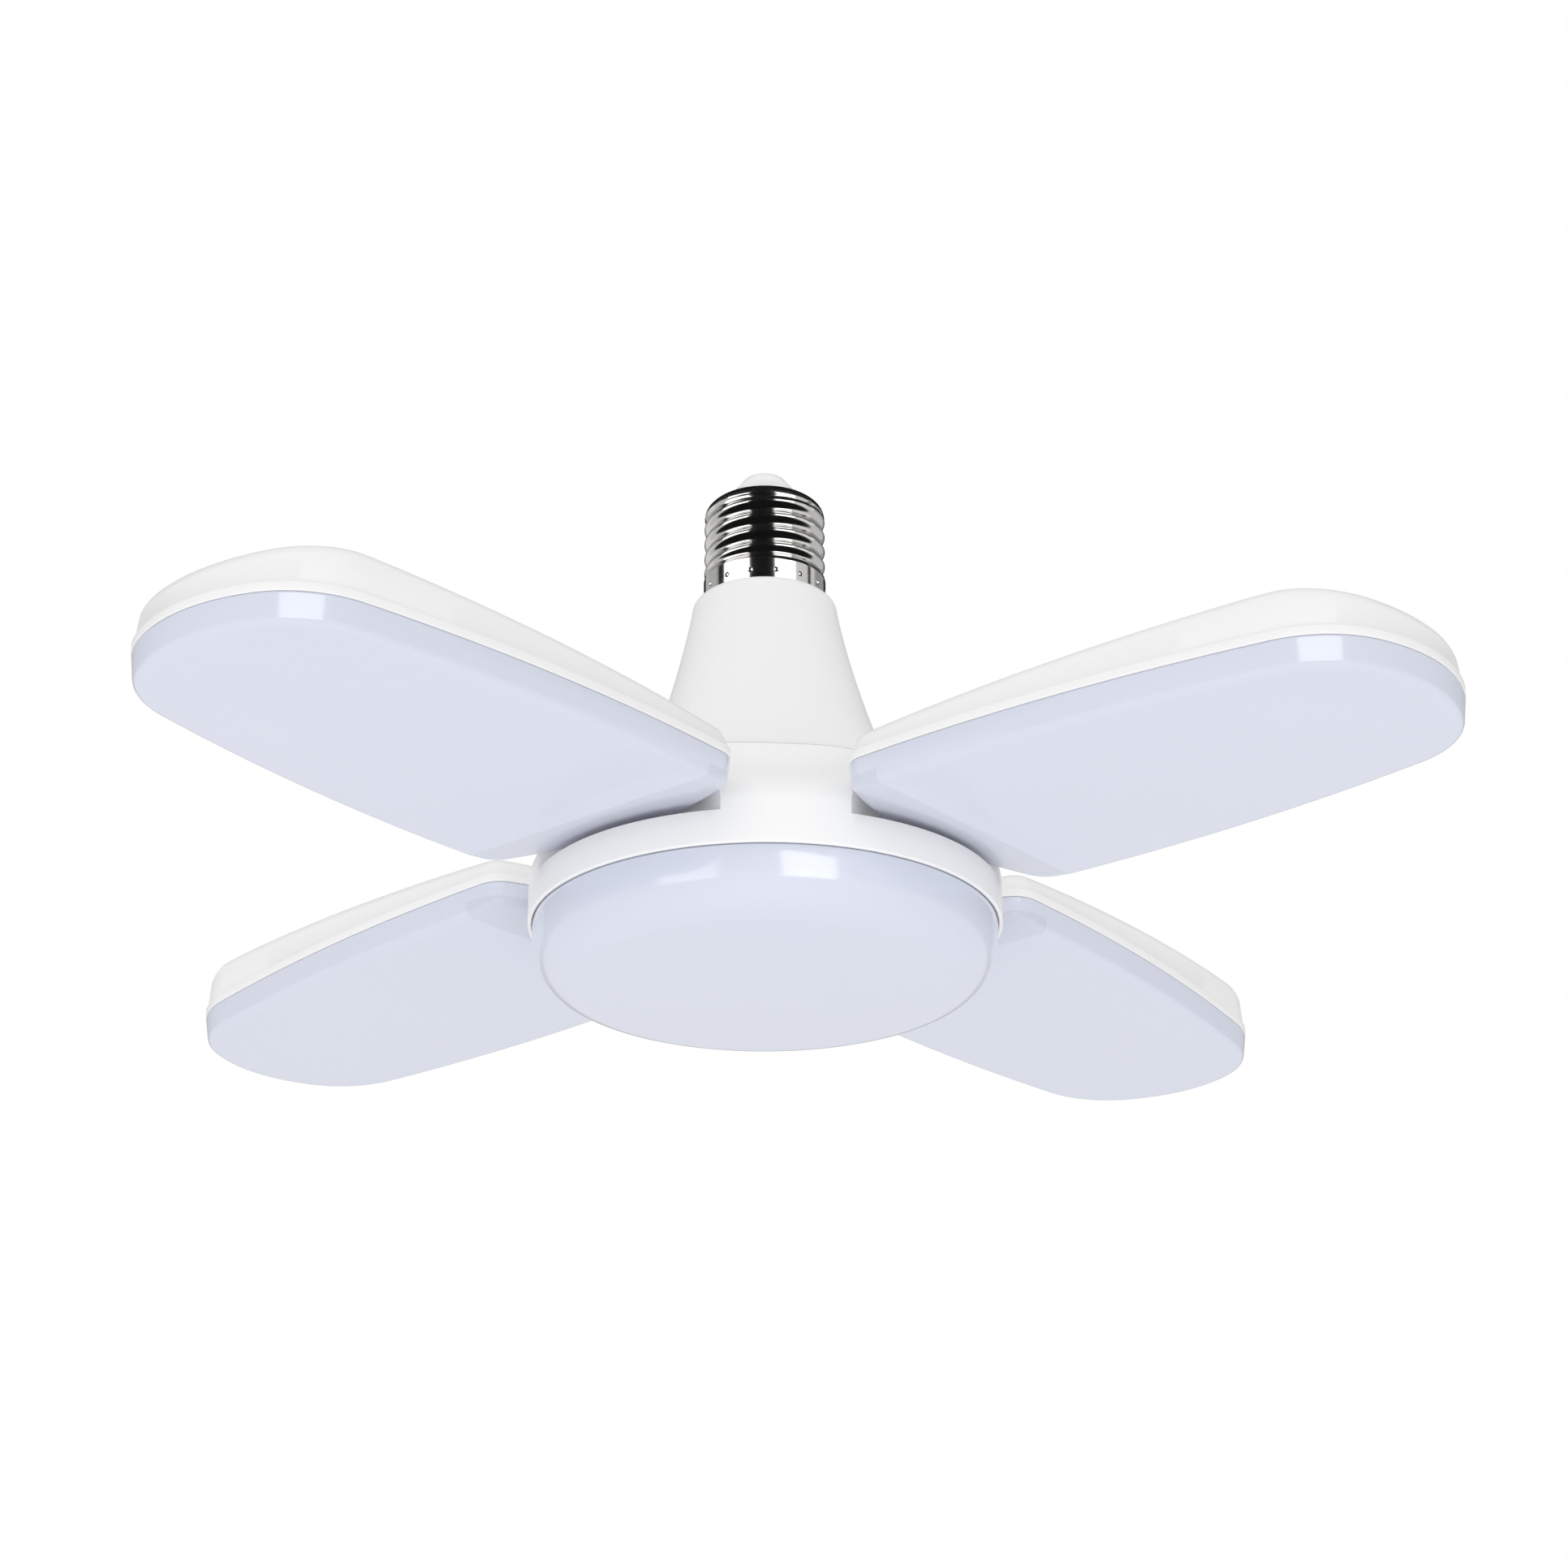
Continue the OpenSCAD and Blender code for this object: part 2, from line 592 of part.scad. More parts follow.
module lower_housing() color(white) {
    difference() {
        union() {
            loft(concat(flare_rings(rim_lap),
                        [[rim_z + rim_wall_height - 1, rim_radius - rim_lap, 2]]));
            translate([0, 0, rim_z]) cylinder(r = rim_radius, h = rim_wall_height, $fn = 96);
            // the spigot that the neck slips over
            loft([[seam_z + spigot_height, seam_radius - neck_wall - fit_gap - 0.8, seam_squareness],
                  [seam_z - 1, seam_radius - neck_wall - fit_gap, seam_squareness]]);
        }
        for (k = [1:4]) towards_leaf(k) leaf_pocket(0);
        housing_inside();
        translate([0, 0, rim_z - bite]) cylinder(r = recess_radius, h = flange_thickness + bite, $fn = 96);
        for (k = [1:4])
            towards_leaf(k) {
                translate([neck_screw_circle, 0, seam_z - 10])
                    cylinder(r = small_screw_radius + 0.3, h = 20, $fn = 24);
                // way out for the leaf's lead
                translate([recess_u - 6, lead_out_w, hinge_z]) rotate([0, 90, 0])
                    cylinder(r = lead_radius + 0.2, h = 8, $fn = 24);
            }
    }
    for (k = [1:4], side = [-1, 1]) towards_leaf(k) hinge_ear(side);
}

// The hollow of the lower housing, less the walls behind the pockets, the web
// and the screw bosses
module housing_inside() {
    web_z = seam_z - web_thickness;
    difference() {
        union() {
            loft([for (ring = flare_rings(housing_wall)) [ring[0], ring[1], ring[2]]]);
            translate([0, 0, rim_z - bite])
                cylinder(r = ring_inner_radius, h = rim_wall_height + 2 * bite, $fn = 96);
        }
        for (k = [1:4]) towards_leaf(k) leaf_pocket(housing_wall);
        difference() {
            translate([0, 0, web_z]) cylinder(r = rim_radius, h = web_thickness + 1);
            translate([0, 0, web_z - 1]) cylinder(r = web_opening_radius, h = web_thickness + 3);
        }
        for (k = [1:4])
            rotate([0, 0, 90 * k - 45])
                translate([plate_screw_circle, 0, plate_top_z])
                    difference() {
                        cylinder(r = boss_radius, h = housing_height, $fn = 32);
                        translate([0, 0, -1]) cylinder(r = small_screw_radius - 0.2, h = 9, $fn = 24);
                    }
    }
    translate([0, 0, seam_z - 1])
        cylinder(r = web_opening_radius, h = spigot_height + 2);
    loft([[seam_z + spigot_height + 1, seam_radius - 2 * neck_wall - 1, seam_squareness],
          [seam_z, seam_radius - 2 * neck_wall - 1, seam_squareness]]);
}

module housing_screws() color("#9a9a9a")
    for (k = [1:4])
        towards_leaf(k)
            translate([neck_screw_circle, 0, seam_z - web_thickness]) {
                translate([0, 0, -small_head_height]) cylinder(r = small_head_radius, h = small_head_height, $fn = 32);
                cylinder(r = small_screw_radius - 0.02, h = web_thickness + neck_boss_height - 4, $fn = 24);
            }

module hub_holes()
    for (k = [1:4]) {
        rotate([0, 0, 90 * k - 45]) translate([plate_screw_circle, 0, 0]) children(0);
        towards_leaf(k) translate([recess_u - 4, lead_out_w, 0]) children(1);
    }

// Clearance of the hub's round pieces round the walls of the scallops
module hub_notches()
    for (k = [1:4])
        towards_leaf(k)
            translate([inner_centre.x, 0, flange_z])
                cylinder(r = inner_end_curve + leaf_gap + housing_wall + 0.4, h = housing_height, $fn = 128);

module heat_plate() color("#c9ccd1")
    difference() {
        translate([0, 0, plate_z]) cylinder(r = plate_radius, h = heat_plate_thickness, $fn = 96);
        hub_notches();
        hub_holes() {
            translate([0, 0, plate_z - 1]) cylinder(r = small_screw_radius + 0.3, h = 5, $fn = 24);
            translate([0, 0, plate_z - 1]) cylinder(r = lead_radius + 0.4, h = 5, $fn = 24);
        }
        on_driver() for (x = [-4, 4])
            translate([x, 0, plate_z - 1]) cylinder(r = lead_radius + 0.4, h = 5, $fn = 24);
    }

module hub_led_board() color("#f2f2ee")
    difference() {
        translate([0, 0, hub_board_z]) cylinder(r = plate_radius - 1, h = board_thickness, $fn = 96);
        hub_notches();
        for (k = [1:4])
            rotate([0, 0, 90 * k - 45]) translate([plate_screw_circle, 0, hub_board_z - 1])
                cylinder(r = small_screw_radius + 0.3, h = 4, $fn = 24);
    }

module chip() cube([chip_length, chip_width, chip_height], center = true);

module hub_leds() color("#f0d774")
    for (ring = [[0, 1], [hub_ring_radius / 2 + 1, 6], [hub_ring_radius, 12]], i = [0:ring[1] - 1])
        rotate([0, 0, 360 * i / ring[1] + 15])
            translate([ring[0], 0, hub_board_z - chip_height / 2]) chip();

module hub_board_screws() color("#9a9a9a")
    for (k = [1:4])
        rotate([0, 0, 90 * k - 45])
            translate([plate_screw_circle, 0, hub_board_z]) {
                translate([0, 0, -small_head_height]) cylinder(r = small_head_radius, h = small_head_height, $fn = 32);
                cylinder(r = small_screw_radius - 0.22, h = board_thickness + heat_plate_thickness + 6, $fn = 24);
            }

// The lens's outside below the rim, drawn inwards by inset
function lens_curve(inset) =
    let (
        edge_c = [lens_radius - 0.6 - lens_edge_radius, -lens_side_height],
        r = lens_edge_radius - inset,
        depth = lens_depth - inset,
        edge_low = lens_side_height + lens_edge_radius - inset
    )
    concat(
        [[lens_radius - inset, 0]],
        arc(edge_c, r, 0, -90, 10),
        [for (i = [1:6]) let (s = 1 - i / 6) [edge_c.x * s, -edge_low - (depth - edge_low) * (1 - s * s)]]
    );

// Its flange sits in the rim, and four curved tabs between the scallops hold it
module hub_lens() color(milky) {
    translate([0, 0, rim_z]) rotate_extrude($fn = 96)
        polygon(concat(
            [[spigot_radius - spigot_wall, flange_thickness], [lens_radius, flange_thickness]],
            lens_curve(0),
            [for (i = [17:-1:1]) lens_curve(lens_wall)[i]],
            [[spigot_radius - spigot_wall, 0]]));
    difference() {
        translate([0, 0, flange_z - bite]) cylinder(r = spigot_radius, h = spigot_height + bite, $fn = 96);
        translate([0, 0, flange_z - 1]) cylinder(r = spigot_radius - spigot_wall, h = spigot_height + 2, $fn = 96);
        hub_notches();
    }
}

module hub_leads() color("#d0d0d0")
    on_driver() for (x = [-4, 4])
        lead([[x, 0, plate_z], [x, 0, driver_z]]);

// From the hub board up and out to each hinge's axis, where they end square
module leaf_feed_leads() color("#d0d0d0")
    for (k = [1:4])
        towards_leaf(k)
            lead([[recess_u - 4, lead_out_w, plate_z],
                  [recess_u - 4, lead_out_w, hinge_z],
                  [hinge_u, lead_out_w, hinge_z],
                  [hinge_u, lead_meet_w, hinge_z]]);

// ---- Leaves ---------------------------------------------------------------

module shell_outside()
    hull() {
        translate([0, 0, parting_z]) linear_extrude(shell_lip) leaf_outline(0);
        leaf_slice(1, shell_end_height, end_start);
        leaf_slice(2.4, shell_end_height + 1.6, end_start);
        back_slice(1, shell_inner_height - 2.8, back_end + 2);
        back_slice(1.8, shell_inner_height - 1.3, back_end);
        back_slice(3, shell_inner_height - 0.4, back_end - 4);
        back_slice(5, shell_inner_height, back_end - 10);
    }

// The shell's hollow, less the solid block that carries the hinge
module shell_inside()
    difference() {
        hull() {
            leaf_slice(shell_wall, -bite);
            leaf_slice(shell_wall + 1.2, shell_end_height - 1, end_start);
            back_slice(shell_wall + 1, shell_inner_height - shell_wall - 1.8, back_end - 2);
            back_slice(shell_wall + 4, shell_inner_height - shell_wall, back_end - 12);
        }
        translate([0, -block_half_width, parting_z - 1])
            cube([block_u, 2 * block_half_width, shell_tip_height + 2]);
    }

module leaf_shell(k) color(white)
    on_leaf(k)
        difference() {
            union() {
                difference() {
                    shell_outside();
                    shell_inside();
                    hinge_slots();
                }
                // the knuckle between the ears
                across(knuckle_radius, -knuckle_width / 2, knuckle_width / 2);
                translate([hinge_u, -knuckle_width / 2, parting_z + 1])
                    cube([slot_radius + 1, knuckle_width, shell_inner_height - 1.4]);
                screw_posts();
            }
            across(pin_radius + turn_gap, -knuckle_width / 2 - 1, knuckle_width / 2 + 1);
            leaf_screw_holes();
            // way in for the lead
            translate([hinge_u, lead_in_w, hinge_z - 3.2]) rotate([0, 90, 0])
                cylinder(r = lead_radius + 0.2, h = block_u - hinge_u + 2, $fn = 24);
        }

// Room for the ears, the screw and the lead on both sides of the knuckle
module hinge_slots()
    for (side = [[-slot_outer, -knuckle_width / 2], [knuckle_width / 2, lead_slot_w]]) {
        across(slot_radius, side[0], side[1]);
        translate([hinge_u - 10, side[0], hinge_z - slot_radius])
            cube([10, side[1] - side[0], 2 * slot_radius]);
    }

module screw_posts()
    intersection() {
        for (u = screw_places)
            translate([u, 0, leaf_board_z + board_thickness])
                cylinder(r = 2.6, h = shell_tip_height, $fn = 32);
        shell_outside();
    }

module leaf_screw_holes()
    for (u = screw_places)
        translate([u, 0, leaf_board_z]) cylinder(r = 0.9, h = board_thickness + 3, $fn = 24);

module leaf_board(k) color("#f2f2ee")
    on_leaf(k)
        difference() {
            translate([0, 0, leaf_board_z]) linear_extrude(board_thickness) leaf_outline(board_inset, board_u);
            for (u = screw_places)
                translate([u, 0, leaf_board_z - 1]) cylinder(r = 1.3, h = 4, $fn = 24);
        }

// Chips stand in rows between the screws' line and the board's edges
module leaf_leds(k) color("#f0d774")
    on_leaf(k)
        for (u = [board_u + first_chip:chip_spacing:leaf_reach - board_inset - last_chip], row = [-1.5, -0.5, 0.5, 1.5])
            translate([u, row * row_spacing, leaf_board_z - chip_height / 2]) chip();

module leaf_screws(k) color("#9a9a9a")
    on_leaf(k)
        for (u = screw_places)
            translate([u, 0, leaf_board_z]) {
                translate([0, 0, -0.9]) cylinder(r = 2, h = 0.9, $fn = 32);
                cylinder(r = 0.88, h = board_thickness + 2.6, $fn = 24);
            }

module diffuser_outside()
    hull() {
        leaf_slice(0.1, -bite);
        leaf_slice(0.6, face_rise + 1.2 - diffuser_depth);
        leaf_slice(1.1, face_rise + 0.3 - diffuser_depth);
        leaf_slice(1.9, face_rise - diffuser_depth);
        leaf_slice(0.6, 1.2 - diffuser_depth, face_start);
        leaf_slice(1.1, 0.3 - diffuser_depth, face_start);
        leaf_slice(1.9, -diffuser_depth, face_start);
    }

module diffuser_inside()
    hull() {
        leaf_slice(diffuser_wall + 0.6, 0);
        leaf_slice(diffuser_wall + 1.2, diffuser_wall + face_rise - diffuser_depth);
        leaf_slice(diffuser_wall + 1.2, diffuser_wall - diffuser_depth, face_start);
    }

module leaf_diffuser(k) color(milky)
    on_leaf(k) {
        difference() {
            diffuser_outside();
            diffuser_inside();
        }
        // the rib that snaps into the shell
        difference() {
            translate([0, 0, parting_z - 1]) linear_extrude(2.4) leaf_outline(shell_wall + fit_gap, block_u + 1);
            translate([0, 0, parting_z - 2]) linear_extrude(5) leaf_outline(shell_wall + fit_gap + 1.1, block_u + 2.1);
        }
    }

// From the hinge's axis into the shell and down to the leaf's board
module leaf_lead(k) color("#d0d0d0")
    on_leaf(k)
        lead([[hinge_u, lead_meet_w + lead_end_gap, hinge_z],
              [hinge_u, lead_in_w, hinge_z],
              [hinge_u, lead_in_w, hinge_z - 3.2],
              [board_u + 2, lead_in_w, hinge_z - 3.2],
              [board_u + 2, lead_in_w, leaf_board_z + board_thickness]]);

// ---- Hinge hardware -------------------------------------------------------

module hinge_screw(k) color("#8c8f94")
    towards_leaf(k) {
        across(pin_radius, -ear_outer, ear_outer + nut_height);
        across(head_radius, -ear_outer - head_height, -ear_outer);
    }

module hinge_nut(k) color("#8c8f94")
    towards_leaf(k)
        difference() {
            translate([hinge_u, ear_outer, hinge_z]) rotate([-90, 0, 0])
                cylinder(r = nut_radius / cos(30), h = nut_height, $fn = 6);
            across(pin_radius + pin_gap, ear_outer - 1, ear_outer + nut_height + 1);
        }

module friction_washers(k) color("#a8a39a")
    towards_leaf(k)
        for (face = [-1, 1])
            let (middle = face * (knuckle_width / 2 + side_gap + washer_thickness / 2))
            difference() {
                across(knuckle_radius - 0.3, middle - washer_thickness / 2, middle + washer_thickness / 2);
                across(pin_radius + pin_gap, middle - 2, middle + 2);
            }

// ---- The lamp -------------------------------------------------------------

screw_cap();
cap_insulator();
centre_contact();
live_lead();
neutral_lead();
neck_housing();
driver_board();
bulk_capacitor();
transformer();
rectifier();
driver_chip();
fuse_resistor();
lower_housing();
housing_screws();
heat_plate();
hub_led_board();
hub_leds();
hub_board_screws();
hub_lens();
hub_leads();
leaf_feed_leads();
for (k = [1:4]) {
    leaf_shell(k);
    leaf_board(k);
    leaf_leds(k);
    leaf_screws(k);
    leaf_diffuser(k);
    leaf_lead(k);
    hinge_screw(k);
    hinge_nut(k);
    friction_washers(k);
}
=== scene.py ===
"""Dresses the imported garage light: smooth mouldings, finishes, studio light and camera.

Sizes are in millimetres, measured as the part's source measures them: the origin
is the tip of the centre contact, +Z is up, and a leaf's own directions are u (out
from the lamp's axis), w (across the leaf) and z. Meshes are put in metres last.
"""

import json
import logging
import math
from dataclasses import dataclass, field
from enum import Enum
from typing import Callable, Sequence

import bpy
from mathutils import Matrix, Vector


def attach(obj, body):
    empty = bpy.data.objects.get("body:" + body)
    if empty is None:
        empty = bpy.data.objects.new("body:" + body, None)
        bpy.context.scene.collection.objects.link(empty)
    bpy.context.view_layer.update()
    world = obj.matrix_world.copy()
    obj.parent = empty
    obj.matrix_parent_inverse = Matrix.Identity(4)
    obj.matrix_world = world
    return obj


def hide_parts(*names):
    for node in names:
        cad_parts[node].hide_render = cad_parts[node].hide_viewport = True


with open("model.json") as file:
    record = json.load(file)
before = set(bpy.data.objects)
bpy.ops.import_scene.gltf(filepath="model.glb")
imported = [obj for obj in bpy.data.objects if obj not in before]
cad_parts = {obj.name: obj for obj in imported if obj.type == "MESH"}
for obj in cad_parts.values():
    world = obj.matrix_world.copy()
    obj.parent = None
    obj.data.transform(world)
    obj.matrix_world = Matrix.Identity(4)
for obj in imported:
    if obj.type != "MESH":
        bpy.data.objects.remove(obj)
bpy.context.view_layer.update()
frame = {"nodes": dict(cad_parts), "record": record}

log = logging.getLogger("garage_light")

MM = 0.001
LEAF_COUNT = 4
Triple = tuple[float, float, float]
Ring = list[Triple]
Profile = list[tuple[float, float]]
Steps = tuple[tuple[float, float], ...]
Height = Callable[[float], float]

ROD_BEVEL = 0.2
BLOCK_BEVEL = 0.15


# ---- Shader maths ----


def math_node(operation: str, reflected: bool = False) -> Callable[["Wire", object], "Wire"]:
    """Makes one of Wire's operators.

    Args:
        operation: the Math node's operation.
        reflected: whether the other value comes first.

    Returns:
        A method that adds a Math node on a wire and a value or another wire.
    """

    def operator(wire: "Wire", other: object) -> "Wire":
        """Adds the Math node."""
        first, second = (other, wire) if reflected else (wire, other)
        return wire.finish.node("ShaderNodeMath", {"operation": operation}, {0: first, 1: second})

    return operator


class Wire:
    """One output socket, on which arithmetic adds Math nodes."""

    def __init__(self, finish: "Finish", socket: bpy.types.NodeSocket) -> None:
        """Wraps a socket of a finish's node tree."""
        self.finish = finish
        self.socket = socket

    __add__ = __radd__ = math_node("ADD")
    __mul__ = __rmul__ = math_node("MULTIPLY")
    __sub__ = math_node("SUBTRACT")
    __rsub__ = math_node("SUBTRACT", reflected=True)
    __gt__ = math_node("GREATER_THAN")
    __lt__ = math_node("LESS_THAN")


@dataclass
class Finish:
    """A procedural finish, built once as a Principled material.

    Args:
        name: the material's name.
        color: its linear base colour.
        roughness: its mean roughness.
        metallic: 1 for metal.
        mottle: how far the colour drifts over the surface, as a share.
        grain: distance between the grain's bumps, in millimetres.
        relief: height of the grain, in millimetres.
        coat: weight of a clear coat.
        ior: its index of refraction.
        coat_roughness: the clear coat's roughness.
        drift: distance between patches of colour, in millimetres.
        wear: distance between patches of roughness, in millimetres.
        unevenness: how far the roughness varies, as a share.
    """

    name: str
    color: Triple
    roughness: float = 0.45
    metallic: float = 0.0
    mottle: float = 0.02
    grain: float = 0.5
    relief: float = 0.004
    coat: float = 0.0
    ior: float = 1.49
    coat_roughness: float = 0.05
    drift: float = 38.0
    wear: float = 9.0
    unevenness: float = 0.16

    def node(
        self, kind: str, settings: dict | None = None, inputs: dict | None = None, output: int | str = 0
    ) -> Wire:
        """Adds any node.

        Args:
            kind: the node's type.
            settings: attributes that are set first.
            inputs: values or wires by socket name or number.
            output: the output that is handed back.

        Returns:
            The wire of that output.
        """
        made = self.tree.nodes.new(kind)
        for key, value in (settings or {}).items():
            setattr(made, key, value)
        for key, value in (inputs or {}).items():
            if isinstance(value, Wire):
                self.tree.links.new(value.socket, made.inputs[key])
            else:
                made.inputs[key].default_value = value
        return Wire(self, made.outputs[output])

    def place(self) -> Wire:
        """The object coordinates that every pattern reads."""
        return self.node("ShaderNodeTexCoord", output="Object")

    def noise(self, size: float, detail: float = 3.0, stretch: Triple = (1, 1, 1)) -> Wire:
        """A noise from 0 to 1.

        Args:
            size: distance between its bumps, in millimetres.
            detail: octaves of finer noise.
            stretch: scale of the pattern along each axis.

        Returns:
            The noise's factor.
        """
        moved = self.node("ShaderNodeMapping", None, {"Vector": self.place(), "Scale": stretch})
        inputs = {"Vector": moved, "Scale": 1 / (size * MM), "Detail": detail}
        return self.node("ShaderNodeTexNoise", None, inputs)

    def mix(self, factor: Wire, low: Wire | Triple, high: Wire | Triple) -> Wire:
        """Mixes two colours by a factor.

        Args:
            factor: 0 for the first colour, 1 for the second.
            low: the first colour or its wire.
            high: the second colour or its wire.

        Returns:
            The mixed colour.
        """
        made = self.tree.nodes.new("ShaderNodeMix")
        made.data_type = "RGBA"
        self.tree.links.new(factor.socket, made.inputs[0])
        for slot, value in ((6, low), (7, high)):
            if isinstance(value, Wire):
                self.tree.links.new(value.socket, made.inputs[slot])
            else:
                made.inputs[slot].default_value = (*value, 1)
        return Wire(self, made.outputs[2])

    def tone(self) -> Wire:
        """The base colour, drifting a little over the surface.

        Returns:
            The colour's wire.
        """
        low = tuple(c * (1 - self.mottle) for c in self.color)
        high = tuple(min(1.0, c * (1 + self.mottle)) for c in self.color)
        return self.mix(self.noise(self.drift), low, high)

    def shine(self) -> Wire:
        """The roughness, uneven as handled plastic is."""
        low = self.roughness * (1 - self.unevenness / 2)
        return self.noise(self.wear) * (self.unevenness * self.roughness) + low

    def height(self) -> Wire:
        """The relief's height, from 0 to 1."""
        return self.noise(self.grain, 2)

    def build(self) -> bpy.types.Material:
        """Makes the material.

        Returns:
            The finished material.
        """
        material = bpy.data.materials.new(self.name)
        material.use_nodes = True
        self.tree = material.node_tree
        self.tree.nodes.clear()
        relief = {"Height": self.height(), "Strength": 1.0, "Distance": self.relief * MM}
        bump = self.node("ShaderNodeBump", None, relief)
        shader = self.node("ShaderNodeBsdfPrincipled", None, {
            "Base Color": self.tone(), "Roughness": self.shine(), "Metallic": self.metallic,
            "IOR": self.ior, "Coat Weight": self.coat,
            "Coat Roughness": self.coat_roughness, "Normal": bump})
        out = self.tree.nodes.new("ShaderNodeOutputMaterial")
        self.tree.links.new(shader.socket, out.inputs["Surface"])
        return material


@dataclass
class Plating(Finish):
    """Bright plating with faint rolling marks round the cap."""

    marks: float = 1.4
    marks_stretch: Triple = (0.1, 0.1, 1.0)
    marks_share: float = 0.5
    ripple: float = 4.5
    smear: float = 2.2
    smear_stretch: Triple = (0.4, 0.4, 1.0)
    smear_gain: float = 0.07
    smear_drop: float = 0.03

    def height(self) -> Wire:
        """Fine marks drawn round the cap, and a slight ripple."""
        marks = self.noise(self.marks, 2, self.marks_stretch) * self.marks_share
        return marks + self.noise(self.ripple, 1) * (1 - self.marks_share)

    def shine(self) -> Wire:
        """Smeared, with duller patches."""
        smear = self.noise(self.smear, 4, self.smear_stretch) * self.smear_gain
        return smear + (self.roughness - self.smear_drop)


@dataclass
class Mask(Finish):
    """A circuit board's solder mask with its raised traces."""

    traces: float = 90.0
    trace_edge: float = 0.82
    trace_share: float = 0.5
    trace_gain: float = 1.25
    trace_lift: float = 0.02

    def height(self) -> Wire:
        """Traces that run along the board."""
        inputs = {"Vector": self.place(), "Scale": self.traces, "Distortion": 0.0}
        return self.node("ShaderNodeTexWave", {"wave_type": "BANDS"}, inputs, "Fac") > self.trace_edge

    def tone(self) -> Wire:
        """Mask colour, lighter over the traces."""
        paler = tuple(min(1.0, c * self.trace_gain + self.trace_lift) for c in self.color)
        return self.mix(self.height() * self.trace_share, self.color, paler)


@dataclass
class Phosphor(Finish):
    """The yellow face of a light-emitting chip, with a granular fill."""

    gel: Triple = (0.95, 0.86, 0.55)
    grain_size: float = 0.25

    def tone(self) -> Wire:
        """Yellow grains in a paler gel."""
        return self.mix(self.noise(self.grain_size, 4), self.color, self.gel)


@dataclass
class Milk(Finish):
    """Milky moulded plastic, with painted shade over a tray's inner end and painted light up the lens's side.

    Args:
        face_start: distance from the axis at which a tray's face starts.
        face_z: height under which a tray is counted as its face.
        lens_z: height under which a piece is the lens.
        inner_end_shade: the colour's share over a tray's inner end, as painted shade.
        lens_reach: distance from the axis within which a piece is the lens.
        painted_light_from: height at which the lens's side starts to get paler, as painted light.
        painted_light_to: height at which it is palest.
        painted_light_gain: the colour's share there.
    """

    face_start: float = 55.5
    face_z: float = -96.6
    lens_z: float = -103.5
    inner_end_shade: float = 0.93
    lens_reach: float = 50.0
    painted_light_from: float = -119.5
    painted_light_to: float = -112.5
    painted_light_gain: float = 1.08

    def tone(self) -> Wire:
        """The milky colour, with painted shade between a tray's face and its inner end and painted light up
        the lens's side.

        Returns:
            The colour's wire.
        """
        parts = self.node("ShaderNodeSeparateXYZ", None, {"Vector": self.place()}).socket.node.outputs
        x, y, z = (Wire(self, part) for part in parts)
        far = self.node("ShaderNodeMath", {"operation": "MAXIMUM"}, {0: self.size(x), 1: self.size(y)})
        # Painted shade: a tray is darker inwards of its face's start, up to its inner end.
        inner = (far < self.face_start * MM) * (z < self.face_z * MM) * (z > self.lens_z * MM)
        # Painted light: the lens's side gets paler up towards its rim.
        ends = {"Value": z, "From Min": self.painted_light_from * MM, "From Max": self.painted_light_to * MM}
        on_lens = (far < self.lens_reach * MM) * (z < self.lens_z * MM)
        side = self.node("ShaderNodeMapRange", None, ends, "Result") * on_lens
        tray = self.mix(inner, super().tone(), tuple(c * self.inner_end_shade for c in self.color))
        return self.mix(side, tray, tuple(c * self.painted_light_gain for c in self.color))

    def size(self, value: Wire) -> Wire:
        """A value without its sign."""
        return self.node("ShaderNodeMath", {"operation": "ABSOLUTE"}, {0: value})


# ---- Finishes ----


def finishes() -> dict[str, Finish]:
    """Every finish, by the record's material slot.

    Returns:
        The finishes by their names, which are the slots'.
    """
    made = [
        Plating("plated_shell", (0.58, 0.572, 0.555), 0.12, 1.0, 0.03, relief=0.001),
        Finish("cap_insulation", (0.93, 0.93, 0.935), 0.3, grain=1.2, relief=0.002),
        Plating("contact_metal", (0.36, 0.36, 0.35), 0.38, 1.0, 0.08, relief=0.02),
        Finish("live_wire", (0.55, 0.03, 0.02), 0.5, grain=0.8),
        Finish("neutral_wire", (0.03, 0.08, 0.35), 0.5, grain=0.8),
        Finish("white_wire", (0.75, 0.75, 0.75), 0.5, grain=0.8),
        Finish("neck_plastic", (0.90, 0.90, 0.90), 0.42, mottle=0.012, grain=0.42, relief=0.004),
        Finish("housing_plastic", (0.94, 0.94, 0.94), 0.38, mottle=0.01, grain=0.42, relief=0.003),
        Finish("leaf_plastic", (0.895, 0.895, 0.895), 0.40, mottle=0.012, grain=0.42, relief=0.004),
        Milk("milky_diffuser", (0.664, 0.692, 0.795), 0.14, mottle=0.012, grain=5.0, relief=0.001, coat=0.2),
        Mask("green_board", (0.03, 0.16, 0.06), 0.35, relief=0.03),
        Mask("white_board", (0.80, 0.80, 0.78), 0.35, relief=0.03),
        Finish("capacitor_sleeve", (0.02, 0.03, 0.07), 0.25, grain=1.5),
        Finish("winding_tape", (0.62, 0.42, 0.06), 0.4, mottle=0.08, grain=0.9, relief=0.02),
        Finish("black_component", (0.02, 0.02, 0.02), 0.5, mottle=0.15, grain=0.3, relief=0.01),
        Finish("resistor_body", (0.45, 0.22, 0.1), 0.35, mottle=0.1),
        Plating("screw_steel", (0.55, 0.55, 0.54), 0.3, 1.0, 0.05, relief=0.01),
        Plating("hinge_steel", (0.42, 0.42, 0.43), 0.32, 1.0, 0.06, relief=0.01),
        Plating("heat_aluminium", (0.72, 0.72, 0.73), 0.4, 1.0, 0.04, relief=0.01),
        Phosphor("led_phosphor", (0.80, 0.58, 0.12), 0.4, grain=0.2, relief=0.01),
        Finish("washer_fibre", (0.32, 0.27, 0.2), 0.7, mottle=0.15, grain=0.2, relief=0.02),
    ]
    return {finish.name: finish for finish in made}


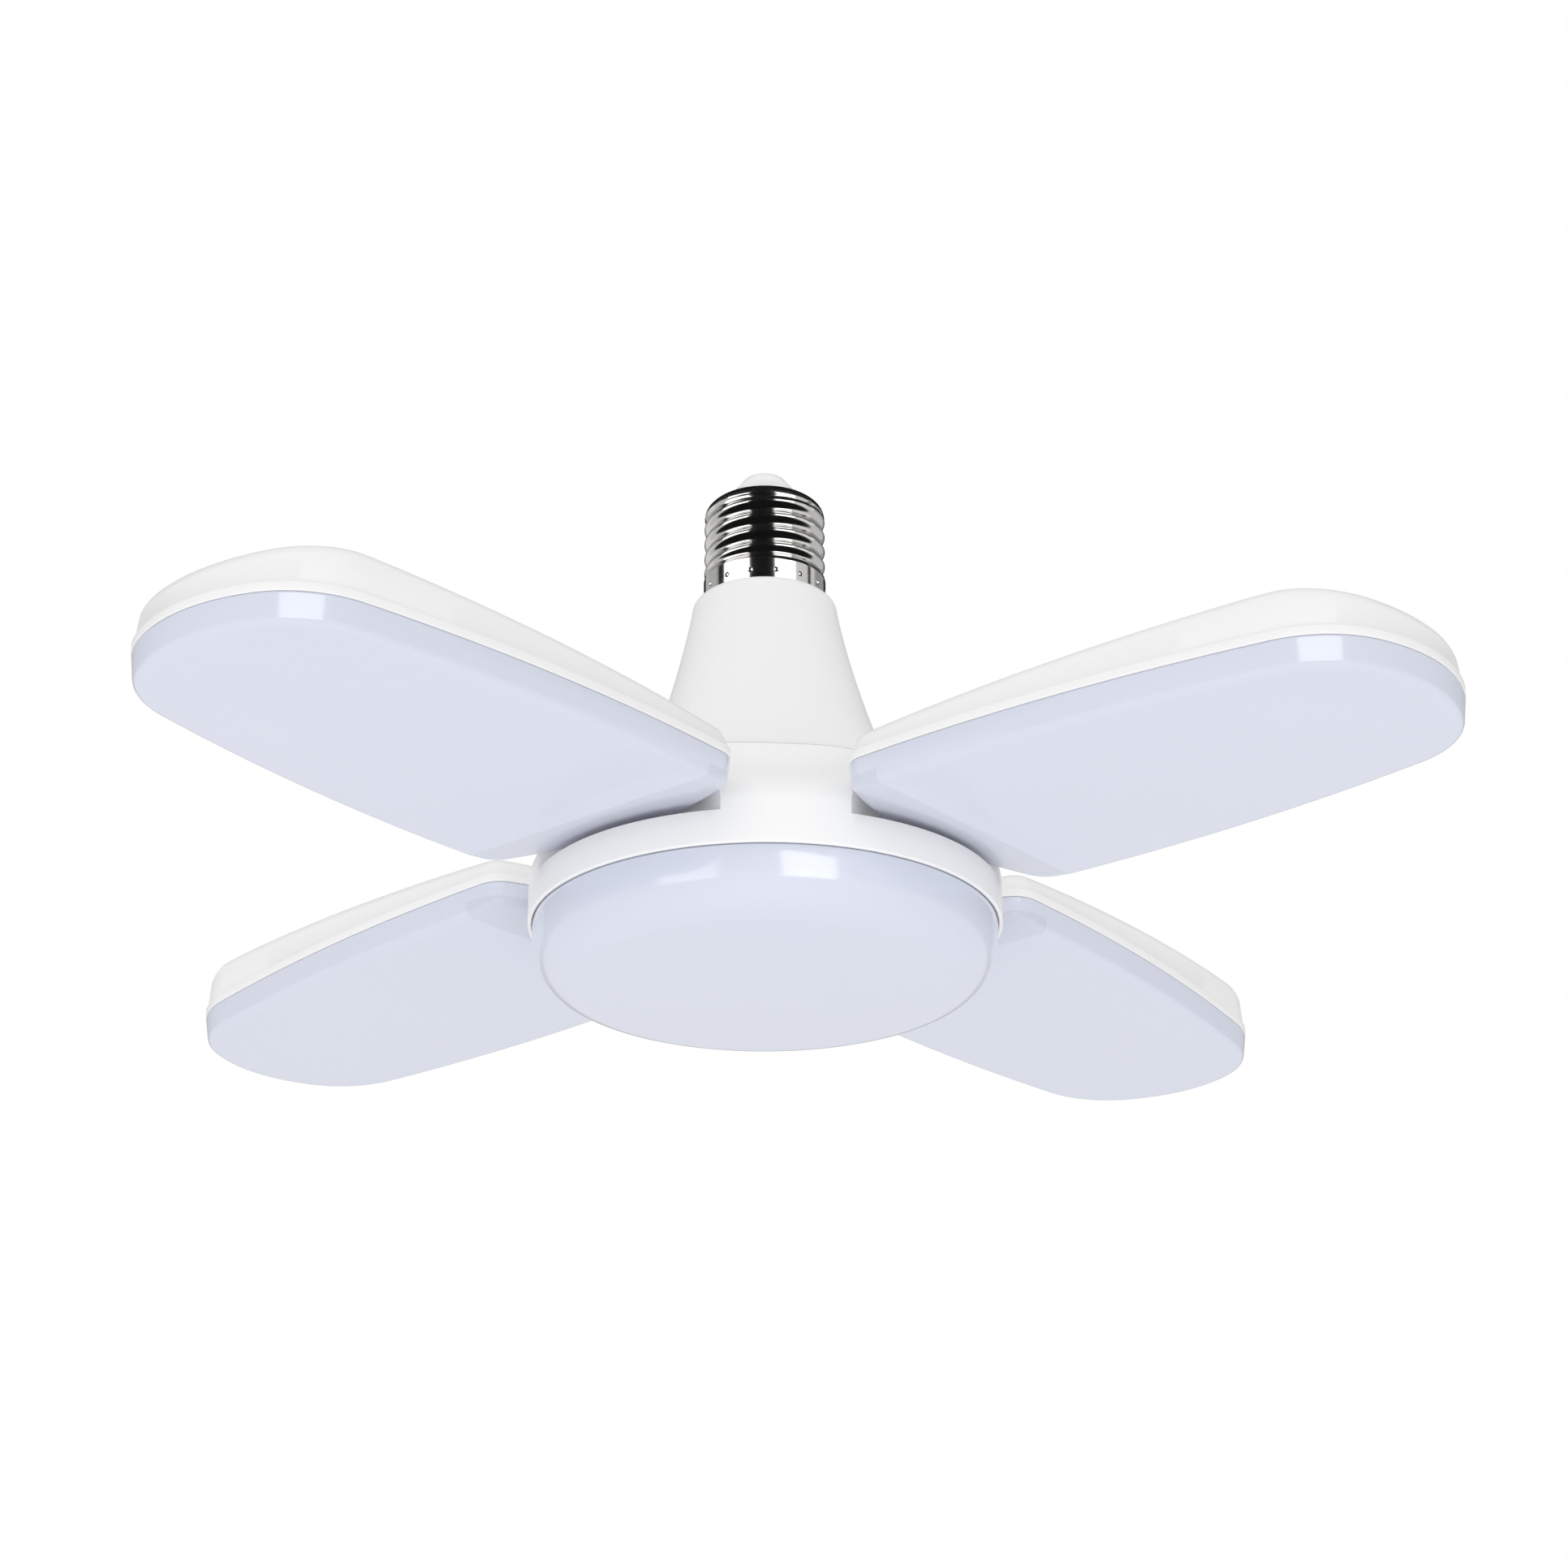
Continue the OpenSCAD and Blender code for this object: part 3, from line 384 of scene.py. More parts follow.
class Wardrobe:
    """Builds each finish once and puts it on pieces."""

    def __init__(self) -> None:
        """Starts with no material built."""
        self.finishes = finishes()
        self.built: dict[str, bpy.types.Material] = {}

    def material(self, slot: str) -> bpy.types.Material:
        """The material of one of the record's slots.

        Args:
            slot: the slot's name.

        Returns:
            Its material, built at its first use.
        """
        if slot not in self.built:
            self.built[slot] = self.finishes[slot].build()
        return self.built[slot]

    def dress(self, piece: bpy.types.Object, slot: str) -> None:
        """Puts a slot's material on a piece."""
        piece.data.materials.clear()
        piece.data.materials.append(self.material(slot))

    def dress_nodes(self) -> None:
        """Gives every CAD node its finish."""
        slots = {row["node"]: row["material_slot"] for row in frame["record"]["subparts"]}
        for node, piece in frame["nodes"].items():
            material = self.material(slots[node])
            if not piece.material_slots:
                piece.data.materials.append(material)
            for holder in piece.material_slots:
                holder.material = material


# ---- Modelling ----


class Bench:
    """The modelling operators that every piece is made with."""

    @staticmethod
    def clear() -> None:
        """Leaves edit mode and deselects everything."""
        if bpy.context.object and bpy.context.object.mode != "OBJECT":
            bpy.ops.object.mode_set(mode="OBJECT")
        bpy.ops.object.select_all(action="DESELECT")

    @staticmethod
    def hold(piece: bpy.types.Object) -> None:
        """Selects one piece alone and makes it active.

        Args:
            piece: the piece to work on.
        """
        Bench.clear()
        piece.select_set(True)
        bpy.context.view_layer.objects.active = piece

    @staticmethod
    def close(piece: bpy.types.Object, merge: float = 0.002) -> None:
        """Merges doubles and turns the faces outwards.

        Args:
            piece: the piece to mend.
            merge: distance under which points are merged, in millimetres.
        """
        Bench.hold(piece)
        bpy.ops.object.mode_set(mode="EDIT")
        bpy.ops.mesh.select_all(action="SELECT")
        bpy.ops.mesh.remove_doubles(threshold=merge)
        bpy.ops.mesh.dissolve_degenerate(threshold=merge / 4)
        bpy.ops.mesh.normals_make_consistent(inside=False)
        bpy.ops.object.mode_set(mode="OBJECT")

    @staticmethod
    def skin(name: str, rings: Sequence[Ring]) -> bpy.types.Object:
        """A grid that is wrapped round a row of rings.

        Args:
            name: the piece's name.
            rings: rings of as many points each; the first and last may fall on a line.

        Returns:
            The closed piece.
        """
        columns, rows = len(rings[0]), len(rings)
        Bench.clear()
        bpy.ops.mesh.primitive_grid_add(x_subdivisions=columns, y_subdivisions=rows - 1, size=1)
        piece = bpy.context.object
        piece.name = piece.data.name = name
        points = piece.data.vertices
        order = sorted(range(len(points)), key=lambda i: (round(points[i].co.y, 5), round(points[i].co.x, 5)))
        for place, index in enumerate(order):
            row, column = divmod(place, columns + 1)
            points[index].co = rings[row][column % columns]
        Bench.close(piece)
        return piece

    @staticmethod
    def lathe(name: str, profile: Profile, steps: int = 160) -> bpy.types.Object:
        """Spins a closed profile of (radius, height) points round the lamp's axis.

        Args:
            name: the piece's name.
            profile: the profile's points, with the first one repeated last.
            steps: faces round the axis.

        Returns:
            The closed piece.
        """
        Bench.clear()
        bpy.ops.mesh.primitive_plane_add(size=1)
        piece = bpy.context.object
        piece.name = piece.data.name = name
        bpy.ops.object.mode_set(mode="EDIT")
        bpy.ops.mesh.merge(type="CENTER")
        start = Vector((profile[0][0], 0, profile[0][1]))
        bpy.ops.transform.translate(value=start)
        for (r, z), (r_next, z_next) in zip(profile, profile[1:]):
            bpy.ops.mesh.extrude_region_move(TRANSFORM_OT_translate={"value": (r_next - r, 0, z_next - z)})
        bpy.ops.mesh.select_all(action="SELECT")
        bpy.ops.mesh.spin(steps=steps, angle=math.tau, center=(0, 0, 0), axis=(0, 0, 1))
        bpy.ops.object.mode_set(mode="OBJECT")
        Bench.close(piece)
        return piece

    @staticmethod
    def block(low: Sequence[float], high: Sequence[float], bevel: float = 0.0) -> bpy.types.Object:
        """A box between two corners, with its edges bevelled.

        Args:
            low: the lowest corner.
            high: the highest corner.
            bevel: width of the bevels.

        Returns:
            The box.
        """
        Bench.clear()
        size = [b - a for a, b in zip(low, high)]
        middle = [(a + b) / 2 for a, b in zip(low, high)]
        bpy.ops.mesh.primitive_cube_add(size=1, location=middle, scale=size)
        piece = bpy.context.object
        bpy.ops.object.transform_apply(location=True, rotation=True, scale=True)
        if bevel:
            bpy.ops.object.mode_set(mode="EDIT")
            bpy.ops.mesh.select_all(action="SELECT")
            bpy.ops.mesh.bevel(offset=bevel, segments=2)
            bpy.ops.object.mode_set(mode="OBJECT")
        return piece

    @staticmethod
    def rod(
        radius: float, start: Sequence[float], end: Sequence[float], sides: int = 64, bevel: float = 0.0
    ) -> bpy.types.Object:
        """A cylinder between two points, with its rims bevelled.

        Args:
            radius: its radius.
            start: the middle of one end.
            end: the middle of the other end.
            sides: faces round it.
            bevel: width of the bevels.

        Returns:
            The cylinder.
        """
        Bench.clear()
        a, b = Vector(start), Vector(end)
        turn = (b - a).to_track_quat("Z", "Y").to_euler()
        bpy.ops.mesh.primitive_cylinder_add(
            vertices=sides, radius=radius, depth=(b - a).length, location=(a + b) / 2, rotation=turn)
        piece = bpy.context.object
        bpy.ops.object.transform_apply(location=True, rotation=True, scale=True)
        if bevel:
            Bench.round_edges(piece, bevel)
        return piece

    @staticmethod
    def round_edges(piece: bpy.types.Object, width: float, angle: float = 30.0) -> None:
        """Bevels the edges that are sharper than an angle in degrees.

        Args:
            piece: the piece to round.
            width: width of the bevels.
            angle: the least angle between two faces.
        """
        Bench.hold(piece)
        modifier = piece.modifiers.new("edges", "BEVEL")
        modifier.width, modifier.segments, modifier.limit_method = width, 2, "ANGLE"
        modifier.angle_limit = math.radians(angle)
        bpy.ops.object.modifier_apply(modifier="edges")

    @staticmethod
    def join(pieces: Sequence[bpy.types.Object]) -> bpy.types.Object:
        """Joins pieces into the first one.

        Args:
            pieces: the pieces, with the one that is kept first.

        Returns:
            The joined piece.
        """
        Bench.hold(pieces[0])
        for piece in pieces[1:]:
            piece.select_set(True)
        bpy.ops.object.join()
        return bpy.context.object

    @staticmethod
    def cut(piece: bpy.types.Object, cutter: bpy.types.Object) -> None:
        """Takes a cutter's shape out of a piece, and removes the cutter.

        Args:
            piece: the piece that is cut.
            cutter: the shape that is taken out.
        """
        Bench.hold(piece)
        modifier = piece.modifiers.new("cut", "BOOLEAN")
        modifier.operation, modifier.object, modifier.solver = "DIFFERENCE", cutter, "EXACT"
        bpy.ops.object.modifier_apply(modifier="cut")
        bpy.data.objects.remove(cutter, do_unlink=True)

    @staticmethod
    def copy(piece: bpy.types.Object, name: str) -> bpy.types.Object:
        """A copy of a piece with its own mesh.

        Args:
            piece: the piece to copy.
            name: the copy's name.

        Returns:
            The copy.
        """
        Bench.hold(piece)
        bpy.ops.object.duplicate(linked=False)
        made = bpy.context.object
        made.name = made.data.name = name
        return made

    @staticmethod
    def turned(piece: bpy.types.Object, quarter: int) -> bpy.types.Object:
        """Turns a piece's mesh by quarters of a turn round the lamp's axis."""
        piece.data.transform(Matrix.Rotation(math.pi / 2 * quarter, 4, "Z"))
        return piece

    @staticmethod
    def smooth(piece: bpy.types.Object, angle: float = 32.0) -> None:
        """Shades a piece smooth up to an angle between faces."""
        Bench.hold(piece)
        bpy.ops.object.shade_smooth_by_angle(angle=math.radians(angle))


# ---- Plane curves ----


def arc(centre: Vector, radius: float, start: float, end: float, steps: int) -> list[Vector]:
    """Points on an arc between two angles in degrees."""
    turns = [math.radians(start + (end - start) * i / steps) for i in range(steps + 1)]
    return [centre + radius * Vector((math.cos(a), math.sin(a))) for a in turns]


def heading(way: Vector) -> float:
    """A direction's angle in degrees."""
    return math.degrees(math.atan2(way.y, way.x))


def meet(p: Vector, rp: float, q: Vector, rq: float, side: int) -> Vector:
    """Where two circles cross, on the left (1) or right (-1) of the line between them.

    Args:
        p: centre of the first circle.
        rp: its radius.
        q: centre of the second circle.
        rq: its radius.
        side: 1 for the left, -1 for the right.

    Returns:
        The crossing point.
    """
    span = (q - p).length
    along = (q - p) / span
    a = (rp * rp - rq * rq + span * span) / (2 * span)
    return p + a * along + side * math.sqrt(rp * rp - a * a) * Vector((-along.y, along.x))


# ---- The leaves ----


@dataclass
class Leaf:
    """One light leaf: its shell and its milky diffuser, both modelled level.

    Steps are pairs: how far a ring lies inside the outline, and how high over its base.
    """

    reach: float = 159.8
    half_width: float = 33.6
    inner_end: float = 40.3
    inner_curve: float = 75.0
    side_curve: float = 400.0
    side_centre: float = 72.0
    tip_curve: float = 38.0
    outer_corner: float = 21.0
    inner_corner: float = 6.0
    parting_z: float = -93.172
    depth: float = 6.0
    face_rise: float = 1.5
    face_start: float = 55.5
    wall: float = 1.5
    inner_height: float = 6.0
    tip_height: float = 12.4
    end_height: float = 8.6
    taper_start: float = 138.0
    taper_power: float = 1.7
    least_corner: float = 0.4
    arc_steps: tuple[int, ...] = (14, 8, 22, 16, 8)
    spine_in: float = 26.0
    spine_out: float = 30.0
    shares: tuple[float, ...] = (1.0, 0.8, 0.6, 0.4, 0.24, 0.1)
    back_steps: Steps = (
        (5.4, 0.0), (4.4, -0.05), (3.4, -0.25), (2.6, -0.6), (1.9, -1.15), (1.4, -1.9), (1.05, -2.8))
    lip_steps: Steps = (
        (0.42, 2.05), (0.3, 1.9), (0.06, 1.8), (0.0, 1.65), (0.0, 0.2), (0.12, 0.04), (0.3, 0.0))
    hollow_steps: Steps = ((2.8, -3.6), (4.2, -2.0), (6.2, -1.5))
    face_steps: Steps = ((2.3, 0.0), (1.75, 0.06), (1.3, 0.22), (0.95, 0.5), (0.72, 0.85), (0.58, 1.3))
    joint_steps: Steps = ((0.14, -0.5), (0.14, -0.22), (0.3, -0.06), (0.6, -0.02), (1.5, -0.02))
    tray_steps: Steps = ((1.95, 2.8), (2.2, 1.9), (2.8, 1.5))
    hinge_u: float = 43.0
    hinge_rise: float = 6.2
    knuckle_radius: float = 4.0
    knuckle_width: float = 8.0
    slot_radius: float = 4.5
    slot_left: float = -10.8
    slot_right: float = 16.6
    slot_length: float = 10.0
    root_low: float = 1.0
    root_length: float = 5.0
    root_rise: float = 0.6
    hollow_u: float = 51.0
    crease_height: float = 1.0
    tolerance: float = 1e-3
    droops: tuple[float, ...] = (0.5, 2.5, 3.1, 0.0)

    def outline(self, inset: float) -> list[Vector]:
        """The leaf's outline drawn inwards by inset, all round from its inner end.

        Args:
            inset: how far inside the outer edge.

        Returns:
            The outline's points (u, w).
        """
        inner = Vector((self.inner_end + self.inner_curve, 0))
        tip = Vector((self.reach - self.tip_curve, 0))
        side = Vector((self.side_centre, self.half_width - self.side_curve))
        r_in = max(self.inner_corner - inset, self.least_corner)
        r_out = self.outer_corner - inset
        curves = (self.inner_curve, self.side_curve, self.tip_curve)
        ring_in, ring_side, ring_tip = (radius - inset for radius in curves)
        c_in = meet(inner, ring_in - r_in, side, ring_side - r_in, -1)
        c_out = meet(tip, ring_tip - r_out, side, ring_side - r_out, 1)
        turns = (c_in - inner, c_in - side, c_out - side, c_out - tip)
        stops = (180, *(heading(turn) for turn in turns), 0)
        arcs = ((inner, ring_in), (c_in, r_in), (side, ring_side), (c_out, r_out), (tip, ring_tip))
        half: list[Vector] = []
        for (centre, radius), start, end, steps in zip(arcs, stops, stops[1:], self.arc_steps):
            half[-1:] = arc(centre, radius, start, end, steps)
        return half + [Vector((p.x, -p.y)) for p in half[-2:0:-1]]

    def back(self, u: float) -> float:
        """Height of the shell's back over the parting plane at u.

        Args:
            u: distance from the lamp's axis.

        Returns:
            The height.
        """
        rise = (self.tip_height - self.inner_height) * (u - self.inner_end) / (self.reach - self.inner_end)
        t = max(0.0, (u - self.taper_start) / (self.reach - self.taper_start))
        return self.inner_height + rise - (self.tip_height - self.end_height) * t**self.taper_power

    def face(self, u: float) -> float:
        """Height of the diffuser's face under the parting plane at u."""
        t = max(0.0, (self.face_start - u) / (self.face_start - self.inner_end))
        return -self.depth + self.face_rise * t

    def base(self, _: float) -> float:
        """Height of the tray's floor under the parting plane."""
        return -self.depth

    def level(self, _: float) -> float:
        """The parting plane itself."""
        return 0.0

    def rims(self, steps: Steps, height: Height, least_u: float = 0.0) -> list[Ring]:
        """Rings on the leaf's outline.

        Args:
            steps: how far each ring lies inside the outline, and how high over its base.
            height: the base's height at u.
            least_u: where the rings stop towards the hinge.

        Returns:
            One ring for each step.
        """
        rings = []
        for inset, rise in steps:
            spots = [(max(p.x, least_u), p.y) for p in self.outline(inset)]
            rings.append([(u, w, height(u) + rise) for u, w in spots])
        return rings

    def inward(
        self, inset: float, height: Height, shares: Sequence[float], least_u: float = 0.0
    ) -> list[Ring]:
        """Rings that close a face from its edge to the leaf's middle line.

        Args:
            inset: how far inside the outline the face ends.
            height: the face's height at u.
            shares: how near to the middle line each ring lies, from 0 to 1.
            least_u: where the rings stop towards the hinge.

        Returns:
            One ring for each share.
        """
        rings = []
        for share in shares:
            ring = []
            for p in self.outline(inset):
                u = max(p.x, least_u)
                middle = min(max(u, self.inner_end + self.spine_in), self.reach - self.spine_out)
                u += (middle - u) * share
                ring.append((u, p.y * (1 - share), height(u)))
            rings.append(ring)
        return rings

    def shell(self) -> bpy.types.Object:
        """The white shell: lip, drafted side, rounded back, hollow and hinge block.

        Returns:
            The shell, level and in leaf 1's direction.
        """
        edge, roof = self.back_steps[0][0], self.hollow_steps[-1][0]
        piece = Bench.skin("leaf_shell", [
            *self.inward(edge, self.back, self.shares),
            *self.rims(self.back_steps, self.back),
            *self.rims(self.lip_steps, self.level),
            *self.rims(((self.wall, 0.0),), self.level, self.hollow_u),
            *self.rims(self.hollow_steps, self.back, self.hollow_u),
            *self.inward(roof, lambda u: self.back(u) - self.wall, self.shares[::-1], self.hollow_u)])
        self.hinge_slots(piece)
        return piece

    def hinge_slots(self, piece: bpy.types.Object) -> None:
        """Cuts the slots for the ears and lead, and adds the knuckle between them.

        Args:
            piece: the shell.
        """
        u, z, half = self.hinge_u, self.hinge_rise, self.knuckle_width / 2
        for left, right in ((self.slot_left, -half), (half, self.slot_right)):
            Bench.cut(piece, Bench.rod(self.slot_radius, (u, left, z), (u, right, z)))
            low, high = z - self.slot_radius, z + self.slot_radius
            Bench.cut(piece, Bench.block((u - self.slot_length, left, low), (u, right, high)))
        knuckle = Bench.rod(self.knuckle_radius, (u, -half, z), (u, half, z), bevel=ROD_BEVEL)
        corner = (u + self.root_length, half, z + self.root_rise)
        root = Bench.block((u, -half, self.root_low), corner, BLOCK_BEVEL)
        Bench.join([piece, knuckle, root])

    def diffuser(self) -> bpy.types.Object:
        """The milky diffuser: a glossy tray with a face that lifts at its inner end.

        Returns:
            The diffuser, level and in leaf 1's direction.
        """
        edge, floor = self.face_steps[0][0], self.tray_steps[-1][0]
        piece = Bench.skin("leaf_diffuser", [
            *self.inward(edge, self.base, self.shares),
            *self.rims(self.face_steps, self.base),
            *self.rims(self.joint_steps, self.level),
            *self.rims(self.tray_steps, self.base),
            *self.inward(floor, lambda u: self.wall - self.depth, self.shares[::-1])])
        self.lift_face(piece)
        return piece

    def lift_face(self, piece: bpy.types.Object) -> None:
        """Creases the tray at the face's start and lifts what lies inwards of it.

        Args:
            piece: the diffuser.
        """
        Bench.hold(piece)
        bpy.ops.object.mode_set(mode="EDIT")
        bpy.ops.mesh.select_all(action="SELECT")
        bpy.ops.mesh.bisect(plane_co=(self.face_start, 0, 0), plane_no=(1, 0, 0))
        bpy.ops.object.mode_set(mode="OBJECT")
        for point in piece.data.vertices:
            share = min(1.0, max(0.0, -point.co.z / self.depth))
            point.co.z += (self.face(point.co.x) + self.depth) * share

    def crease(self, piece: bpy.types.Object) -> None:
        """Marks the face's inner edge sharp.

        Args:
            piece: the diffuser.
        """
        points = piece.data.vertices
        for edge in piece.data.edges:
            ends = [points[i].co for i in edge.vertices]
            low = all(p.z < self.crease_height - self.depth for p in ends)
            if low and all(abs(p.x - self.face_start) < self.tolerance for p in ends):
                edge.use_edge_sharp = True

    def hang(self, piece: bpy.types.Object, k: int) -> None:
        """Puts a level piece on leaf k's hinge, at its droop and place.

        Args:
            piece: the shell or the diffuser.
            k: the leaf's number, from 1.
        """
        hinge = Vector((self.hinge_u, 0, self.hinge_rise))
        droop = Matrix.Rotation(math.radians(self.droops[k - 1]), 4, "Y")
        swing = Matrix.Translation(hinge) @ droop @ Matrix.Translation(-hinge)
        place = Matrix.Rotation(math.pi / 2 * (k - 1), 4, "Z") @ Matrix.Translation((0, 0, self.parting_z))
        piece.data.transform(place @ swing)


# ---- The neck, the lower housing and the lens ----


@dataclass
class Body:
    """The lamp's fixed mouldings: the neck, the lower housing and the centre lens.

    Steps are pairs: how far a ring lies inside an edge, and how high over it.
    """

    skirt_z: float = -31.572
    neck_height: float = 44.5
    neck_top: float = 15.4
    neck_shoulder: float = 2.8
    neck_flare: float = 1.22
    neck_wall: float = 1.8
    neck_mouth: float = 0.2
    neck_steps: int = 39
    neck_seam: Steps = ((0.9985, 0.08), (1.0, 0.3))
    neck_end: float = 0.006
    inner_steps: int = 20
    shoulder_steps: int = 12
    collar_gap: float = 0.55
    collar_height: float = 3.4
    collar_root: float = 2.4
    collar_foot: float = 0.01
    cap_radius: float = 13.3
    seam_radius: float = 26.5
    seam_steps: Steps = ((0.28, 0.0), (-0.05, -0.12))
    seam_share: float = 0.02
    seam_roof: float = 1.8
    squareness: float = 3.1
    housing_height: float = 31.1
    rim_radius: float = 49.5
    rim_wall: float = 9.0
    rim_steps: Steps = ((0.0, 4.0), (0.0, 0.5), (0.05, 0.2), (0.2, 0.04), (0.4, 0.0))
    hollow_radius: float = 45.05
    hollow_step: float = 0.5
    hollow_rings: int = 12
    seat_radius: float = 48.75
    seat_depth: float = 1.5
    seam_slope: float = 0.9
    wall: float = 1.5
    ledge: float = 7.0
    pocket_radius: float = 76.5
    pocket_u: float = 115.3
    pocket_height: float = 50.0
    pocket_sides: int = 512
    recess_u: float = 35.74
    recess_half: float = 13.8
    recess_floor: float = 12.5
    recess_reach: float = 60.0
    overlap: float = 1.0
    hinge_u: float = 43.0
    hinge_height: float = 20.2
    ear_inner: float = 4.9
    ear_thickness: float = 3.0
    ear_radius: float = 4.0
    ear_sides: int = 48
    web_drop: float = 2.6
    lens_radius: float = 48.6
    lens_depth: float = 14.3
    lens_side: float = 4.0
    lens_edge: float = 9.0
    lens_wall: float = 1.4
    lens_draft: float = 4.0
    lens_waist: float = 0.27
    lens_lip: float = 0.25
    lens_rim: Steps = ((0.25, 0.0), (0.08, -0.1), (0.0, -0.35))
    lens_ring: float = 43.8
    lens_shelf: float = 0.6
    lens_edge_steps: int = 18
    lens_face_steps: int = 14
    edge_round: float = 0.45
    edge_angle: float = 50.0
    sides: int = 144
    round_sides: int = 192

    @property
    def seam_z(self) -> float:
        """Height of the seam between the neck and the lower housing."""
        return self.skirt_z - self.neck_height

    @property
    def rim_z(self) -> float:
        """Height of the rim that holds the lens."""
        return self.seam_z - self.housing_height

    def section(self, radius: float, squareness: float, z: float) -> Ring:
        """A rounded square ring whose corners face the leaves.

        Args:
            radius: half the square's side.
            squareness: 2 for a circle, more for a squarer ring.
            z: the ring's height.

        Returns:
            The ring.
        """
        ring = []
        for i in range(self.sides):
            a = math.tau * i / self.sides
            b = a + math.pi / 4
            r = radius / (abs(math.cos(b)) ** squareness + abs(math.sin(b)) ** squareness) ** (1 / squareness)
            ring.append((r * math.cos(a), r * math.sin(a), z))
        return ring

    def neck_ring(self, t: float, inset: float) -> Ring:
        """A ring of the neck at t, from 0 under the cap to 1 at the seam."""
        radius = self.neck_top + (self.seam_radius - self.neck_top) * t**self.neck_flare - inset
        return self.section(radius, 2 + (self.squareness - 2) * t * t, self.skirt_z - t * self.neck_height)

    def rounds(self, pairs: Sequence[tuple[float, float]], base: float = 0.0) -> list[Ring]:
        """Round rings from pairs of radius and height over a base."""
        return [self.section(radius, 2, base + z) for radius, z in pairs]

    def neck(self) -> bpy.types.Object:
        """The neck: a rounded shoulder under the cap, and a flare down to the seam.

        Returns:
            The neck's moulding.
        """
        collar = self.cap_radius - self.collar_gap
        start = self.neck_shoulder / self.neck_height
        mouth = ((collar - self.neck_wall, self.collar_height), (collar, self.collar_height),
                 (collar, self.collar_foot), (self.cap_radius - self.neck_mouth, 0.0))
        rings = self.rounds(mouth, self.skirt_z)
        top = self.neck_top + (self.seam_radius - self.neck_top) * start**self.neck_flare
        for i in range(1, self.shoulder_steps + 1):
            share = i / self.shoulder_steps
            a = math.pi / 2 * (1 - share)
            reach = self.cap_radius + (top - self.cap_radius) * math.cos(a)
            squareness = 2 + (self.squareness - 2) * (start * share) ** 2
            drop = self.neck_shoulder * (1 - math.sin(a))
            rings.append(self.section(reach, squareness, self.skirt_z - drop))
        for i in range(1, self.neck_steps + 1):
            rings.append(self.neck_ring(start + (1 - start - self.neck_end) * i / self.neck_steps, 0))
        rings += [self.neck_ring(t, inset) for t, inset in self.neck_seam]
        steps = self.inner_steps
        rings += [self.neck_ring(1 - (1 - start) * i / steps, self.neck_wall) for i in range(steps)]
        rings.append(self.section(collar - self.neck_wall, 2, self.skirt_z - self.collar_root))
        return Bench.skin("neck_moulding", [*rings, rings[0]])

    def flare(self, t: float) -> tuple[float, float]:
        """Radius and squareness of the lower housing at t, from the seam to the rim's wall.

        Args:
            t: 0 at the seam, 1 at the rim's wall.

        Returns:
            The radius and the squareness.
        """
        ease = 3 * t * t - 2 * t**3
        height = self.housing_height - self.rim_wall
        bulge = self.seam_slope * height * (t**3 - 2 * t * t + t)
        radius = self.seam_radius + (self.rim_radius - self.seam_radius) * ease + bulge
        return radius, self.squareness + (2 - self.squareness) * ease

    def flare_rings(self, inset: float, steps: int = 36) -> list[Ring]:
        """The flare's rings from the seam down to the rim's wall.

        Args:
            inset: how far inside the outer face.
            steps: how many rings follow the first.

        Returns:
            The rings, highest first.
        """
        height = self.housing_height - self.rim_wall
        rings = []
        for i in range(steps + 1):
            radius, squareness = self.flare(i / steps)
            rings.append(self.section(radius - inset, squareness, self.seam_z - height * i / steps))
        return rings

    def pocket(self, grow: float) -> list[bpy.types.Object]:
        """The cutters of one scallop and its hinge recess, grown for the wall inside.

        Args:
            grow: how far the cutters are grown.

        Returns:
            The two cutters, in leaf 1's direction.
        """
        low, half, reach = self.rim_z + self.ledge - grow, self.recess_half + grow, self.recess_reach
        start, end = (self.pocket_u, 0, low), (self.pocket_u, 0, low + self.pocket_height)
        return [
            Bench.rod(self.pocket_radius + grow, start, end, self.pocket_sides),
            Bench.block((self.recess_u - grow, -half, self.rim_z + self.recess_floor - grow),
                        (self.recess_u + reach, half, self.rim_z + reach)),
        ]

    def point(self, z: float) -> Ring:
        """A ring that has shrunk to a point on the axis."""
        return [(0.0, 0.0, z)] * self.sides

    def housing(self) -> bpy.types.Object:
        """The lower housing: flare, rim, scallops for the leaves and hinge ears.

        Returns:
            The housing's moulding.
        """
        height = self.housing_height - self.rim_wall
        seam = [self.section(self.seam_radius - inset, self.squareness, self.seam_z + rise)
                for inset, rise in self.seam_steps]
        seam.append(self.section(*self.flare(self.seam_share), self.seam_z - self.seam_share * height))
        rim = self.rounds([(self.rim_radius - inset, rise) for inset, rise in self.rim_steps], self.rim_z)
        solid = Bench.skin("housing_moulding", [
            self.point(self.seam_z), *seam, *self.flare_rings(0.0)[2:], *rim, self.point(self.rim_z)])
        low = self.rim_z - self.overlap
        high = self.rim_z + self.rim_wall - self.hollow_step
        mouth = ((self.hollow_radius, high), (self.hollow_radius, low))
        hollow = Bench.skin("hollow", [
            self.point(self.seam_z - self.seam_roof), *self.flare_rings(self.wall, self.hollow_rings)[1:],
            *self.rounds(mouth), self.point(low)])
        for target, grow in ((hollow, self.wall), (solid, 0.0)):
            for quarter in range(LEAF_COUNT):
                for cutter in self.pocket(grow):
                    Bench.cut(target, Bench.turned(cutter, quarter))
        Bench.cut(solid, hollow)
        seat = (0, 0, self.rim_z + self.seat_depth)
        Bench.cut(solid, Bench.rod(self.seat_radius, (0, 0, low), seat, self.round_sides))
        Bench.close(solid)
        Bench.round_edges(solid, self.edge_round, self.edge_angle)
        ears = [Bench.turned(ear, quarter)
                for quarter in range(LEAF_COUNT) for side in (-1, 1) for ear in self.ear(side)]
